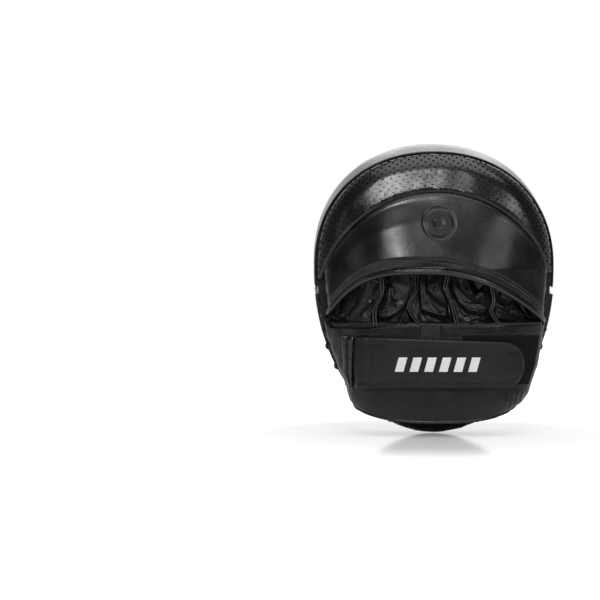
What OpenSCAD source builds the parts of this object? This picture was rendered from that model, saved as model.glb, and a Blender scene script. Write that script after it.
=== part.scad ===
// Boxing focus mitt for the left hand.
// The striking face looks along +Y, the hand goes in from below on the -Y side, and the mitt
// stands upright on its lower tip, with the origin under the middle of its box.

/* [Pad] */
// Highest point of the striking face above the lower tip
face_top = 253.6; // [240:1:270]
// Half width of the striking face
face_half = 104; // [98:0.5:110]
// Height of the widest line of the pad
wide_z = 147; // [140:1:155]
// Height of the lowest point of the striking face's seam
face_foot = 4.5; // [3:0.5:8]
// Top of the back seam, lower than the face's so that the side wall leans in
back_top = 245; // [238:1:250]
// Half width of the back seam
back_half = 103; // [98:0.5:104]
// Lowest point of the back seam
back_foot = 3.4; // [2:0.5:5]
// Depth of the side wall between the two seams
wall_depth = 31; // [24:1:36]
// Thickness of the outer leather
skin = 1.4; // [1:0.1:2]

/* [Striking face] */
// Height of the rounded rim above the face seam
rim_rise = 13; // [10:0.5:16]
// Width of the rounded rim
rim_width = 27; // [20:1:32]
// Height of the flat middle above the face seam
dish_rise = 8; // [6:0.5:10]
// Height of the target's middle
target_z = 131; // [125:1:135]
// Radius of the red target patch
target_r = 39.7; // [36:0.1:42]

/* [Hand cover] */
// Depth of the padded crescent behind the back seam
crescent_rise = 11; // [8:0.5:13]
// Extra depth gained down to the hood's lower edge
hood_rise = 28; // [22:1:30]
// Height of the hood's lower edge in the middle
hood_edge_z = 143.7; // [140:0.1:148]
// Height of the seam between hood and perforated crescent
hood_seam_z = 209; // [205:1:212]

/* [Cuff and strap] */
// Depth of the cuff's crown behind the back seam
cuff_crown = 36.5; // [34:0.5:37]
// How far the cuff falls away at its sides
cuff_droop = 14; // [10:0.5:16]
// Top of the leather band over the cuff
band_top = 96.5; // [95:0.5:98]
// Width of the strap at its root
strap_w = 43.8; // [40:0.1:46]
// Lower edge of the strap
strap_z = 41.2; // [40:0.1:42]
// Thickness of the strap
strap_t = 3; // [2.6:0.1:3.2]
// Place of the fold that the strap opens about
strap_root_x = -68.5; // [-69:0.1:-68]
// Place of the strap's rounded end
strap_end_x = 75; // [72:0.5:76]
// Place where the strap's two halves bend
strap_bend_x = 0; // [-4:0.5:4]

/* [Lacing] */
// Number of stitches of the lace
lace_turns = 16; // [12:1:18]
// Radius of the lace
lace_r = 1.3; // [1.1:0.1:1.4]

/* [Hidden] */
$fn = 48;

// Depths are measured from the back seam's plane towards the hand, along -Y.
seam_front_y = 30.3;                        // plane of the face seam
seam_back_y = seam_front_y - wall_depth;    // plane of the back seam
notch = 8;                                  // degrees below the widest line where the seams change
cols = 48;                                  // points round a whole outline
rim_rows = 5;                               // rows over the rounded rim
hood_layers = 5.6;                          // outer leather, padding and lining together
finger_clear = 3;                           // space between hood lining and finger stalls
cuff_far = 2.6;                             // depth of the cuff's inner side
cuff_top = 92;
stall_foot_z = 92.6;
stall_foot = 2.2;                           // depth at which a stall meets the back panel
stall_t = 1.3;
fin_x = [-52.7, -17.5, 16.8, 51.2];         // raised seams between the fingers
stall_x = [-88, -52.7, -17.5, 16.8, 51.2, 89];
stall_tip_z = [160, 178, 186, 180, 152];
fin_gap = 1.2;
// Half widths of the cuff on each side, by height
cuff_left = [[12, 50], [22, 62], [30, 70], [43, 77], [60, 84], [85, 93.5], [97, 96]];
cuff_right = [[12, 50], [22, 63], [30, 74], [43, 83.5], [60, 89.5], [85, 94], [97, 96]];

function mix(a, b, t) = a + (b - a) * t;
function clamp(t) = max(0, min(1, t));
function smooth(t) = clamp(t) * clamp(t) * (3 - 2 * clamp(t));
function spow(v, p) = sign(v) * pow(abs(v), p);
function unit(v) = v / norm(v);
function total(v) = [for (x = v) 1] * v;

// Egg-shaped outline: a point [x, z] at angle t, from two superellipse halves.
function egg(t, half, top, foot, n_top, n_foot) =
    let (n = sin(t) >= 0 ? n_top : n_foot, h = sin(t) >= 0 ? top - wide_z : wide_z - foot)
    [half * spow(cos(t), 2 / n), wide_z + h * spow(sin(t), 2 / n)];
function face_edge(t, inset = 0) =
    egg(t, face_half - inset, face_top - inset, face_foot + inset, 2.15, 1.85);
function back_edge(t, inset = 0) =
    egg(t, back_half - inset, back_top - inset, back_foot + inset, 2.15, 2.1);
// Outline of the pad at a depth between the two seams
function pad_edge(t, y, inset) =
    mix(face_edge(t, inset), back_edge(t, inset), (seam_front_y - y) / wall_depth);

// Hand side: 0 at the pad's middle and 1 on the back seam.
function level(x, z) = let (n = z >= wide_z ? 2.15 : 2.1,
    h = z >= wide_z ? back_top - wide_z : wide_z - back_foot)
    pow(pow(abs(x) / back_half, n) + pow(abs(z - wide_z) / h, n), 1 / n);
function rounded_edge(s) = sqrt(max(0, 1 - pow(max(0, (s - 0.84) / 0.16), 2)));
// Depth of the crescent and the hood
function cover_depth(x, z) = rounded_edge(level(x, z)) * (crescent_rise
    + hood_rise * clamp((back_top - z) / 102) * (1 - pow(abs(x) / back_half, 2.4)));
function hood_seam(x) =
    100 + (hood_seam_z - 100) * sqrt(max(0, 1 - pow((x - 1) / 106, 2)));
function hood_edge(x) = hood_edge_z
    - (x < -8 ? 36.5 * pow((-8 - x) / 86, 3.6) : 42.2 * pow((x + 8) / 104, 2.1));

// Depth of the cuff over the wrist
function cuff_mid(z) = (lookup(z, cuff_right) - lookup(z, cuff_left)) / 2;
function cuff_half(z) = (lookup(z, cuff_right) + lookup(z, cuff_left)) / 2;
function cuff_depth(x, z) = cuff_far
    + (cuff_crown - cuff_droop * pow(abs(x) / 85, 2.6) - cuff_far)
    * pow(max(0, 1 - pow(min(1, abs(x - cuff_mid(z)) / cuff_half(z)), 6)), 1 / 3);
function cuff_foot(u) = 12.7 + 14 * pow(abs(u), 2.6);

// Depth of the fingers' upper side
function stall_depth(x, z) = mix(cuff_depth(x, 95) - 1.2,
    min(30 - 0.12 * (z - 94), cover_depth(x, z) - hood_layers - finger_clear),
    smooth((z - 94) / 26));
function arch(u) = pow(max(0, 1 - pow(abs(2 * u - 1), 4)), 0.4);

// The strap follows the cuff, and climbs onto the fastener at its end.
function strap_under(x) = cuff_depth(x, 85) + 1.5 + 1.6 * smooth((x + 25) / 40);
function strap_low(x) = strap_z + 0.9 * (x - strap_root_x) / 126;
function strap_high(x) = strap_z + strap_w - 4.3 * (x - strap_root_x) / 126;
strap_curve = 18;                           // length of the strap's rounded end
function strap_edge(x, side) = let (mid = (strap_low(x) + strap_high(x)) / 2,
    half = (strap_high(x) - strap_low(x)) / 2,
    q = clamp((x - strap_end_x + strap_curve) / strap_curve))
    mid + side * half * pow(max(0.02, 1 - pow(q, 2.4)), 0.5);

function at(x, depth, z) = [x, seam_back_y - depth, z];

// A closed mesh with its faces turned outwards, whatever way they were listed.
module closed_mesh(points, faces) {
    six_volumes = total([for (f = faces) points[f[0]] * cross(points[f[1]], points[f[2]])]);
    polyhedron(points, six_volumes > 0 ? [for (f = faces) [f[0], f[2], f[1]]] : faces,
        convexity = 8);
}

// A sheet between two grids of points. A ring sheet closes on itself along its rows.
module sheet(outer, inner, ring = false) {
    rows = len(outer);
    row = len(outer[0]);
    n = rows * row;
    last = ring ? row - 1 : row - 2;
    function id(i, j) = i * row + j % row;
    function quad(a, b, c, d) = [[a, b, c], [a, c, d]];
    closed_mesh(
        concat([for (r = outer) each r], [for (r = inner) each r]),
        concat(
            [for (i = [0:rows - 2], j = [0:last])
                each quad(id(i, j), id(i, j + 1), id(i + 1, j + 1), id(i + 1, j))],
            [for (i = [0:rows - 2], j = [0:last])
                each quad(n + id(i, j), n + id(i + 1, j), n + id(i + 1, j + 1), n + id(i, j + 1))],
            [for (j = [0:last]) each quad(id(0, j), n + id(0, j), n + id(0, j + 1), id(0, j + 1))],
            [for (j = [0:last]) each quad(id(rows - 1, j), id(rows - 1, j + 1),
                n + id(rows - 1, j + 1), n + id(rows - 1, j))],
            ring ? [] : [for (i = [0:rows - 2])
                each quad(id(i, 0), id(i + 1, 0), n + id(i + 1, 0), n + id(i, 0))],
            ring ? [] : [for (i = [0:rows - 2]) each quad(id(i, row - 1),
                n + id(i, row - 1), n + id(i + 1, row - 1), id(i + 1, row - 1))]
        )
    );
}

// A stack of rings closed by a fan at each end
module stack(rings) {
    row = len(rings[0]);
    n = len(rings) * row;
    first_mid = total(rings[0]) / row;
    last_mid = total(rings[len(rings) - 1]) / row;
    closed_mesh(
        concat([for (r = rings) each r], [first_mid, last_mid]),
        concat(
            [for (i = [0:len(rings) - 2], j = [0:row - 1])
                let (a = i * row + j, b = i * row + (j + 1) % row)
                each [[a, b, b + row], [a, b + row, a + row]]],
            [for (j = [0:row - 1]) [n, (j + 1) % row, j]],
            [for (j = [0:row - 1]) [n + 1, n - row + j, n - row + (j + 1) % row]]
        )
    );
}

// A round cord along a path. Each ring leans on the reference direction given for its point.
module cord(path, radius, refs = [0, 1, 0], sides = 8, loop = false) {
    n = len(path);
    function ahead(i) = unit(path[loop ? (i + 1) % n : min(n - 1, i + 1)]
        - path[loop ? (i + n - 1) % n : max(0, i - 1)]);
    rings = [for (i = [0:n - 1])
        let (t = ahead(i), ref = is_list(refs[0]) ? refs[i] : refs,
            a = unit(cross(t, ref)), b = cross(a, t))
        [for (k = [0:sides - 1])
            path[i] + radius * (cos(360 * k / sides) * a + sin(360 * k / sides) * b)]];
    if (loop) {
        closed_mesh([for (r = rings) each r],
            [for (i = [0:n - 1], k = [0:sides - 1])
                let (a = i * sides, b = ((i + 1) % n) * sides, l = (k + 1) % sides)
                each [[a + k, a + l, b + l], [a + k, b + l, b + k]]]);
    } else {
        stack(rings);
    }
}

// ---- Striking face ----

// Share of the way from the target's middle (0) to the face seam (1)
function face_reach(v, edge) = v < 0.3 ? (target_r + 2.3) * v / 0.3
    : v < 0.65 ? mix(target_r + 2.3, edge - rim_width, (v - 0.3) / 0.35)
    : edge - rim_width + rim_width * sin(90 * (v - 0.65) / 0.35);
function face_height(v) = v < 0.3 ? dish_rise
    : v < 0.65 ? mix(dish_rise, rim_rise, smooth((v - 0.3) / 0.35))
    : rim_rise * cos(90 * (v - 0.65) / 0.35);
function face_point(t, v, inset) =
    let (e = face_edge(t) - [0, target_z], edge = norm(e),
        r = face_reach(v, edge) * (1 - inset / edge))
    [e[0] / edge * r, seam_front_y + face_height(v) * (1 - inset / rim_rise),
        target_z + e[1] / edge * r];
function face_rings(inset, first) = [for (v = [for (k = [first:3]) 0.3 * k / 3,
        for (k = [1:3]) 0.3 + 0.35 * k / 3,
        for (k = [1:rim_rows]) 0.65 + 0.35 * k / rim_rows])
    [for (i = [0:cols - 1]) face_point(360 * i / cols, v, inset)]];

module face_leather() {
    outer = face_rings(0, 1);
    inner = face_rings(skin + 0.2, 1);
    // Out along the underside, and back along the top to the flat middle under the target patch
    color("#1c1c1e") stack(concat(inner, [for (i = [len(outer) - 1:-1:0]) outer[i]]));
}

module target_patch() {
    color("#f3402f") translate([0, seam_front_y + dish_rise + skin, target_z])
        rotate([90, 0, 0]) difference() {
            cylinder(r = target_r, h = skin - 0.05, $fn = 96);
            rotate_extrude($fn = 96) translate([target_r - 2.6, 0]) circle(r = 0.6, $fn = 24);
            translate([0, 0, -0.1]) mark_shape(0.4);
        }
}

module target_stitching() {
    color("#c81e1a") translate([0, seam_front_y + dish_rise + skin, target_z])
        rotate([90, 0, 0]) translate([0, 0, 0.3])
            rotate_extrude($fn = 96) translate([target_r - 2.6, 0]) circle(r = 0.28, $fn = 16);
}

// A plain ring and dot
module mark_shape(h) {
    difference() {
        cylinder(r = 15, h = h, $fn = 72);
        translate([0, 0, -1]) cylinder(r = 11.5, h = h + 2, $fn = 72);
    }
    cylinder(r = 5.5, h = h, $fn = 48);
}

module target_mark() {
    color("#161616") translate([0, seam_front_y + dish_rise + skin, target_z])
        rotate([90, 0, 0]) mark_shape(0.28);
}

// ---- Seams and side wall ----

// Angles from one notch over the top to the other, and from notch to notch round the foot
function upper(k, n) = mix(-notch + 1.2, 180 + notch - 1.2, k / n);
function lower(k, n) = mix(-notch - 1.2, -180 + notch + 1.2, k / n);
function ring3(p, y) = [p[0], y, p[1]];

module face_piping() {
    color("#19191b") cord([for (k = [0:36]) ring3(face_edge(upper(k, 36), -0.5), seam_front_y - 1.4)],
        1.1, sides = 8);
}

module face_welt() {
    color("#19191b") cord([for (k = [0:28]) ring3(face_edge(lower(k, 28), -0.4), seam_front_y - 1.2)],
        0.8, sides = 6);
}

module back_piping() {
    color("#19191b") cord([for (k = [0:36]) ring3(back_edge(upper(k, 36), -0.6), seam_back_y - 0.4)],
        1.3, sides = 8);
}

function wall_grid(from, to, inset) = [for (y = [seam_front_y - 2.9, seam_back_y + 2.9])
    [for (k = [0:24]) ring3(pad_edge(mix(from, to, k / 24), y, inset), y)]];

module side_wall_upper() {
    color("#1b1b1d") sheet(wall_grid(upper(0, 1), upper(1, 1), 0),
        wall_grid(upper(0, 1), upper(1, 1), skin));
}

module side_wall_lower() {
    color("#1b1b1d") sheet(wall_grid(lower(0, 1), lower(1, 1), 0),
        wall_grid(lower(0, 1), lower(1, 1), skin));
}

// The two leather edges that the lace draws together
lace_from = -24;                            // degrees where the lacing starts on each side
function lace_angle(k) = mix(lace_from, -180 - lace_from, k);
flange_out = 1;
flange_half = 0.4;
module lace_flange() {
    function edge(inset, y) = [for (k = [0:28])
        ring3(back_edge(lower(k, 28), inset), y)];
    color("#151515") sheet(
        [edge(-flange_out, seam_back_y + 0.6 - flange_half), edge(-flange_out, seam_back_y + 0.6 + flange_half)],
        [edge(0.4, seam_back_y + 0.6 - flange_half), edge(0.4, seam_back_y + 0.6 + flange_half)]);
}

// One cord swings over the flange's edge from side to side, and turns where each hole would be
lace_reach = 2.05;
function lace_turn(k) = 166 + 46 * cos(360 * lace_turns * k);
function lace_frame(k) =
    let (t = lace_angle(k), p = back_edge(t, -0.7), q = back_edge(t, -1.7))
    [ring3(p, seam_back_y + 0.6), unit(ring3(q - p, 0))];
module lace() {
    n = lace_turns * 8;
    frames = [for (i = [0:n]) lace_frame(i / n)];
    refs = [for (i = [0:n]) let (w = lace_turn(i / n))
        -cos(w) * frames[i][1] + sin(w) * [0, 1, 0]];
    color("#101010") cord([for (i = [0:n]) frames[i][0] + lace_reach * refs[i]], lace_r,
        refs = refs, sides = 6);
}

module lace_knots() {
    color("#101010") for (k = [0, 1]) let (f = lace_frame(k))
        translate(f[0] + 1.9 * [0, -1, 0] + [k == 0 ? 1.9 : -1.9, -0.8, 4.6]) sphere(r = 2.2, $fn = 24);
}

// ---- Filling of the pad ----

function pad_ring(y, inset) = [for (i = [0:cols - 1]) ring3(pad_edge(360 * i / cols, y, inset), y)];

module front_foam() {
    dome = face_rings(skin + 0.6, 1);
    color("#d8d4c8") stack(concat(dome, [pad_ring(seam_front_y - 1, skin + 1.2), pad_ring(20.2, skin + 0.6)]));
}

module dense_foam() {
    color("#8d9196") stack([pad_ring(20, skin + 0.6), pad_ring(9.2, skin + 0.6)]);
}

module stiffener_board() {
    color("#3a3a3a") stack([pad_ring(9, skin + 0.8), pad_ring(7, skin + 0.8)]);
}

module back_foam() {
    color("#d8d4c8") stack([pad_ring(6.8, skin + 0.6), pad_ring(seam_back_y + 0.2, skin + 0.6)]);
}

module back_panel() {
    color("#1d1d1f") translate([0, seam_back_y, 0]) rotate([90, 0, 0]) linear_extrude(skin)
        polygon([for (i = [0:cols - 1]) back_edge(360 * i / cols, 1.4)]);
}

// ---- Palm grip ----

grip_z = 78;
grip_r = 26;
grip_centre_y = 14.8;
module grip_dome(r) {
    intersection() {
        translate([0, grip_centre_y, grip_z]) sphere(r = r, $fn = 64);
        translate([-30, seam_back_y - skin - 0.05 - 40, grip_z - 30]) cube([60, 40, 60]);
    }
}

module palm_grip_cover() {
    color("#202022") difference() {
        grip_dome(grip_r);
        translate([0, grip_centre_y, grip_z]) sphere(r = grip_r - 1.2, $fn = 64);
    }
}

module palm_grip_core() {
    color("#d8d4c8") grip_dome(grip_r - 1.3);
}

// ---- Perforated crescent and hood ----

// Columns over the top, and rows from the back seam to the hood seam
cover_cols = 28;
function crescent_point(k, v, inset, drop, floor_depth, short = 0) =
    let (x_in = mix(99 - short, -96 + short, k / cover_cols),
        inner = [x_in, hood_seam(x_in) + 0.5],
        t = mix(-5 + short, 185 - short, k / cover_cols),
        outer = back_edge(t, inset),
        p = mix(outer, inner, 1 - cos(90 * v)))
    at(p[0], max(floor_depth, cover_depth(p[0], p[1]) - drop), p[1]);
function crescent_grid(inset, drop, floor_depth, short = 0) = [for (v = [0:0.2:1])
    [for (k = [0:cover_cols]) crescent_point(k, v, inset, drop, floor_depth, short)]];

module perforated_panel() {
    color("#1e1e20") sheet(crescent_grid(1.9, 0, 2.8), crescent_grid(1.9, skin, 1.6));
}

module crescent_padding() {
    color("#d8d4c8") sheet(crescent_grid(6.5, skin + 0.9, 2.1, 12), [for (v = [0:0.2:1])
        [for (k = [0:cover_cols]) let (p = crescent_point(k, v, 6.5, skin, 2, 12))
            at(p[0], skin + 0.15, p[2])]]);
}

function hood_point(k, v, drop) =
    let (x_top = mix(-96, 99, k / cover_cols), x_foot = mix(-93.5, 95.5, k / cover_cols),
        x = mix(x_top, x_foot, v), z = mix(hood_seam(x_top), hood_edge(x_foot), v))
    at(x, cover_depth(x, z) - drop, z);
function hood_grid(drop, from = 0) = [for (v = [from:(1 - from) / 5:1.0001])
    [for (k = [0:cover_cols]) hood_point(k, v, drop)]];

module hood_outer() {
    color("#232326") sheet(hood_grid(-1), hood_grid(0.4));
}

module hood_padding() {
    color("#d8d4c8") sheet(hood_grid(0.6, 0.04), hood_grid(3.6, 0.04));
}

module hood_lining() {
    color("#2c2c2e") sheet(hood_grid(3.8, 0.04), hood_grid(4.6, 0.04));
}

module hood_binding() {
    // Square to the hood's edge, just below it
    function below(k) = let (d = hood_point(k + 0.1, 1, 1.8) - hood_point(k - 0.1, 1, 1.8))
        hood_point(k, 1, 1.8) + 3.3 * unit([d[2], 0, -d[0]]);
    color("#1a1a1c") cord([for (k = [0:cover_cols]) below(k)], 2.6, sides = 8);
}

module hood_stitching() {
    color("#0c0c0e") for (v = [0.86, 0.91])
        cord([for (k = [2:cover_cols - 2]) hood_point(k, v, -1.35)], 0.3, sides = 4);
}

// ---- Finger stalls ----

function stall_grid(i, t) =
    let (x0 = stall_x[i] + fin_gap, x1 = stall_x[i + 1] - fin_gap,
        mid = (x0 + x1) / 2, half = (x1 - x0) / 2, tip = stall_tip_z[i] - t)
    [for (r = [0:7])
        let (z = r < 4 ? mix(stall_foot_z, tip - 16, r / 4) : tip - 16 + 16 * sin(90 * (r - 4) / 3),
            close = r < 4 ? 1 : max(0.12, cos(90 * (r - 4) / 3)))
        [for (j = [0:12])
            let (u = 0.5 - 0.5 * cos(180 * j / 12), x = mid + (2 * u - 1) * (half - t) * close)
            at(x, stall_foot + (stall_depth(x, z) - t - stall_foot) * arch(u) * close, z)]];

module finger_stall(i) {
    color("#1f1f21") sheet(stall_grid(i, 0), stall_grid(i, stall_t));
}

module little_stall() { finger_stall(0); }
module ring_stall() { finger_stall(1); }
module middle_stall() { finger_stall(2); }
module index_stall() { finger_stall(3); }
module thumb_stall() { finger_stall(4); }

module stall_seams() {
    function fin(x, side) = [for (depth = [0, 1])
        [for (k = [0:6]) let (z = mix(97.5, 150, k / 6))
            at(x + side * 0.8, depth == 0 ? 12 : stall_depth(x, z) + 2, z)]];
    color("#2a2a2c") for (x = fin_x) sheet(fin(x, -1), fin(x, 1));
}

vents = [[-6.9, 112.5, 2], [28.3, 104, 3]];
module vent_eyelets() {
    color("#2e2e30") for (v = vents)
        let (x0 = stall_x[v[2]] + fin_gap, x1 = stall_x[v[2] + 1] - fin_gap)
        translate(at(v[0], stall_foot + (stall_depth(v[0], v[1]) - stall_foot)
            * arch((v[0] - x0) / (x1 - x0)) + 1.0, v[1]))
        rotate([90, 0, 0]) rotate_extrude($fn = 32) translate([1.7, 0]) circle(r = 0.5, $fn = 16);
}

// ---- Cuff ----

// The sleeve goes over the wrist, and turns in under its sides to meet the pad.
function cuff_point(j, n, z, t) =
    let (w = cuff_half(z) - t, mid = cuff_mid(z), turn = 3, u = 2 * (j - turn) / (n - 2 * turn) - 1)
    j < turn ? at(mid - w + 18 * (turn - j) / turn, cuff_far - 0.7 + t * 0.55, z)
    : j > n - turn ? at(mid + w - 18 * (j - n + turn) / turn, cuff_far - 0.7 + t * 0.55, z)
    : let (x = mid + w * sin(90 * u))
      at(x, cuff_far + (cuff_depth(mid + (x - mid) * cuff_half(z) / w, z) - cuff_far) - t * (1 - pow(abs(u), 8)), z);
function cuff_grid(t, foot_up, top_down) = let (n = 34) [for (r = [0:5])
    [for (j = [0:n]) let (u = clamp((j - 3) / (n - 6)) * 2 - 1)
        cuff_point(j, n, mix(cuff_foot(u) + foot_up, cuff_top - top_down, r / 5), t)]];

module cuff_sleeve() {
    color("#1f1f21") sheet(cuff_grid(0, 0, 0), cuff_grid(1.8, 0, 0));
}

module cuff_lining() {
    color("#34343a") sheet(cuff_grid(2.5, 1.5, 1), cuff_grid(3.2, 1.5, 1));
}

module cuff_hem() {
    color("#1a1a1c") cord([for (k = [-14:14])
        let (u = k / 16, z = cuff_foot(u), x = cuff_mid(z) + cuff_half(z) * sin(90 * u))
        at(x, cuff_depth(x, z) - 0.9, z - 1.5)], 1.3, sides = 6);
}

// A leather strip lying on the cuff
module on_cuff(x0, x1, z0, z1, gap, t, n = 12, rows = 2) {
    function grid(out) = [for (r = [0:rows])
        [for (k = [0:n]) let (x = mix(x0, x1, k / n), z = mix(z0, z1, r / rows))
            at(x, cuff_depth(x, z) + out, z)]];
    sheet(grid(gap + t), grid(gap));
}

module cuff_band_left() {
    color("#1c1c1e") on_cuff(-69, -14.2, 86, band_top, 0.3, 1.3);
}

module cuff_band_right() {
    color("#1c1c1e") on_cuff(3.2, 92, 86, band_top, 0.3, 1.3, n = 16);
}

module elastic_insert() {
    color("#26262a") on_cuff(-13.4, 2.4, 34, band_top, 0.3, 0.9, n = 4, rows = 6);
}

// Soft side of the hook-and-loop fastener, out to the cuff's edge
module loop_patch() {
    function grid(out) = [for (r = [0:5])
        let (z = mix(44, 85.6, r / 5), x_end = cuff_mid(z) + 0.955 * cuff_half(z))
        [for (k = [0:12]) let (x = mix(22, x_end, k / 12)) at(x, cuff_depth(x, z) + out, z)]];
    color("#151517") sheet(grid(1.5), grid(0.3));
}

module strap_anchor() {
    color("#1b1b1d") cord([for (k = [0:6]) let (z = mix(38.5, 85.5, k / 6))
        at(-74, max(cuff_depth(-71, z), cuff_depth(-72.5, z)) + 3.3, z)], 2.3, refs = [0, 1, 0], sides = 10);
}

// ---- Strap ----

function strap_grid(x0, x1, n, out, inset = 0) = [for (side = [-1, -0.5, 0, 0.5, 1])
    [for (k = [0:n]) let (x = mix(x0, x1, k / n), edge = strap_edge(x, side),
            mid = (strap_low(x) + strap_high(x)) / 2)
        at(x, strap_under(x) + out, edge - inset * side)]];

module strap_base() {
    color("#1e1e20") sheet(strap_grid(strap_root_x + 1, strap_bend_x - 0.4, 12, strap_t),
        strap_grid(strap_root_x + 1, strap_bend_x - 0.4, 12, 0));
}

module strap_tip() {
    color("#1e1e20") sheet(strap_grid(strap_bend_x + 0.4, strap_end_x, 16, strap_t),
        strap_grid(strap_bend_x + 0.4, strap_end_x, 16, 0));
}

// Two threads along each long edge, joined round the tip
module strap_thread(x0, x1, inset, round_tip) {
    n = 12;
    top = [for (k = [0:n]) let (x = mix(x0, x1, k / n))
        at(x, strap_under(x) + strap_t + 0.3, strap_edge(x, 1) - inset)];
    foot = [for (k = [0:n]) let (x = mix(x1, x0, k / n))
        at(x, strap_under(x) + strap_t + 0.3, strap_edge(x, -1) + inset)];
    if (round_tip) {
        cord(concat(top, foot), 0.25, sides = 4);
    } else {
        cord(top, 0.25, sides = 4);
        cord(foot, 0.25, sides = 4);
    }
}

module strap_base_stitching() {
    color("#303034") for (inset = [2.4, 5])
        strap_thread(strap_root_x + 3, strap_bend_x - 1, inset, false);
}

module strap_tip_stitching() {
    color("#303034") for (inset = [2.4, 5])
        strap_thread(strap_bend_x + 1, strap_end_x - 1.2 - inset / 2, inset, true);
}

// Slanted white bars in place of lettering
mark_pitch = 12.4;
mark_w = 7.2;
mark_h = 14;
mark_slant = 3.4;
module strap_mark(k) {
    x0 = (k - 2.5) * mark_pitch - mark_w / 2;
    function grid(out) = [for (r = [0, 1]) [for (s = [0:2])
        let (x = x0 + mark_w * s / 2 + mark_slant * (r - 0.5))
        at(x, strap_under(x) + strap_t + out, 56 + mark_h * r)]];
    sheet(grid(0.35), grid(0.05));
}

module strap_base_marks() {
    color("white") for (k = [0:2]) strap_mark(k);
}

module strap_tip_marks() {
    color("white") for (k = [3:5]) strap_mark(k);
}

// Hooked side of the fastener, under the strap's tip
module hook_patch() {
    function grid(out) = [for (side = [-1, 0, 1])
        [for (k = [0:8]) let (x = mix(26, 70, k / 8))
            at(x, strap_under(x) + out, mix(strap_edge(x + 2, -1), strap_edge(x + 2, 1), 0.5 + side * 0.42))]];
    color("#121214") sheet(grid(-0.06), grid(-1.2));
}

face_leather();
target_patch();
target_stitching();
target_mark();
face_piping();
face_welt();
side_wall_upper();
side_wall_lower();
back_piping();
lace_flange();
lace();
lace_knots();
front_foam();
dense_foam();
stiffener_board();
back_foam();
back_panel();
palm_grip_cover();
palm_grip_core();
perforated_panel();
crescent_padding();
hood_outer();
hood_padding();
hood_lining();
hood_binding();
hood_stitching();
little_stall();
ring_stall();
middle_stall();
index_stall();
thumb_stall();
stall_seams();
vent_eyelets();
cuff_sleeve();
cuff_lining();
cuff_band_left();
cuff_band_right();
elastic_insert();
cuff_hem();
loop_patch();
strap_anchor();
strap_base();
strap_base_stitching();
strap_base_marks();
strap_tip();
strap_tip_stitching();
strap_tip_marks();
hook_patch();
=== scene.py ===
"""Looks of the focus mitt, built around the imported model. Shapes are worked in millimetres."""

import math

import bmesh
import bpy
import numpy as np
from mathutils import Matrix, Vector, geometry, noise


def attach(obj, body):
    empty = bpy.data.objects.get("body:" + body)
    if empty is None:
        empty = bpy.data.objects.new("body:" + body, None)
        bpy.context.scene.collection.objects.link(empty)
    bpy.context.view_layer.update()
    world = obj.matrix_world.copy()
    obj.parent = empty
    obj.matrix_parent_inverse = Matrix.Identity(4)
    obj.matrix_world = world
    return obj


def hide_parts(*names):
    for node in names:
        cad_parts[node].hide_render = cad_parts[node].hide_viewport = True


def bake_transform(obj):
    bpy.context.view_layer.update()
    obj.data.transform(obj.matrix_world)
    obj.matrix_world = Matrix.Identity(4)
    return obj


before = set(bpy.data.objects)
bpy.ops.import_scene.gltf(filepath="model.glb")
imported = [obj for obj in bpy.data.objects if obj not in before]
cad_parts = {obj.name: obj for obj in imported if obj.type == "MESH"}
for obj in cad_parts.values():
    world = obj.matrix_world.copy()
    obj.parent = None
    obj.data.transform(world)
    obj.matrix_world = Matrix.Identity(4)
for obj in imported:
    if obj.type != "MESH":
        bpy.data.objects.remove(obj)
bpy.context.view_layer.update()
MM = 0.001
BODY, ROOT, END = "mitt", "strap_root", "strap_end"

# ---- Shape of the pad and the hand cover, as in the CAD model ----

WIDE_Z, FACE_HALF, FACE_TOP, FACE_FOOT = 147, 104, 253.6, 4.5
BACK_HALF, BACK_TOP, BACK_FOOT = 103, 245, 3.4
SEAM_FRONT, WALL = 30.3, 31
SEAM_BACK = SEAM_FRONT - WALL
TARGET_Z, TARGET_R, DISH, RIM, RIM_W = 131, 39.7, 8, 13, 27
SKIN = 1.4
CRESCENT_RISE, HOOD_RISE = 11, 28
# The seam between hood and crescent is half an ellipse about CENTRE
CENTRE = np.array([1.0, 100.0])
SEAM_X, SEAM_Z = 106, 109
HOOD_EDGE_Z, HOOD_EDGE_X = 143.7, -8
CUFF_CROWN, CUFF_DROOP, CUFF_FAR = 36.5, 14, 2.6
GRIP_Z, GRIP_R, GRIP_Y = 78, 26.0, 14.8
CUFF_LEFT = [
    (12, 50), (18, 62), (24, 69.5), (30, 73.5), (36, 75.5), (43, 77), (60, 84), (85, 93.5), (97, 96)
]
CUFF_RIGHT = [
    (12, 50), (18, 60), (24, 69), (30, 77), (36, 81.3), (43, 83.5), (60, 89.5), (85, 94), (97, 96)
]
STRAP_ROOT_X, STRAP_END_X, STRAP_Z, STRAP_W, STRAP_T = -68.5, 75, 41.2, 43.8, 3
# Length over which the strap narrows, length of its rounded end, and how far in its two seams lie
STRAP_STRAIGHT, STRAP_ROUND, STRAP_SEAMS = 126, 18, (2.6, 5.0)


def smooth(t):
    t = np.clip(t, 0, 1)
    return t * t * (3 - 2 * t)


def mix(a, b, t):
    return a + (b - a) * t


def bell(t):
    return np.exp(-(t**2))


def unit(v):
    return v / np.maximum(np.linalg.norm(v, axis=-1, keepdims=True), 1e-9)


def spow(v, p):
    return np.sign(v) * np.abs(v) ** p


def egg(t, half, top, foot, n_foot):
    """Outline x, z at angle t in degrees."""
    t = np.radians(np.asarray(t, float))
    s, c = np.sin(t), np.cos(t)
    n = np.where(s >= 0, 2.15, n_foot)
    h = np.where(s >= 0, top - WIDE_Z, WIDE_Z - foot)
    return half * spow(c, 2 / n), WIDE_Z + h * spow(s, 2 / n)


def face_edge(t, inset=0):
    return egg(t, FACE_HALF - inset, FACE_TOP - inset, FACE_FOOT + inset, 1.85)


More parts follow.
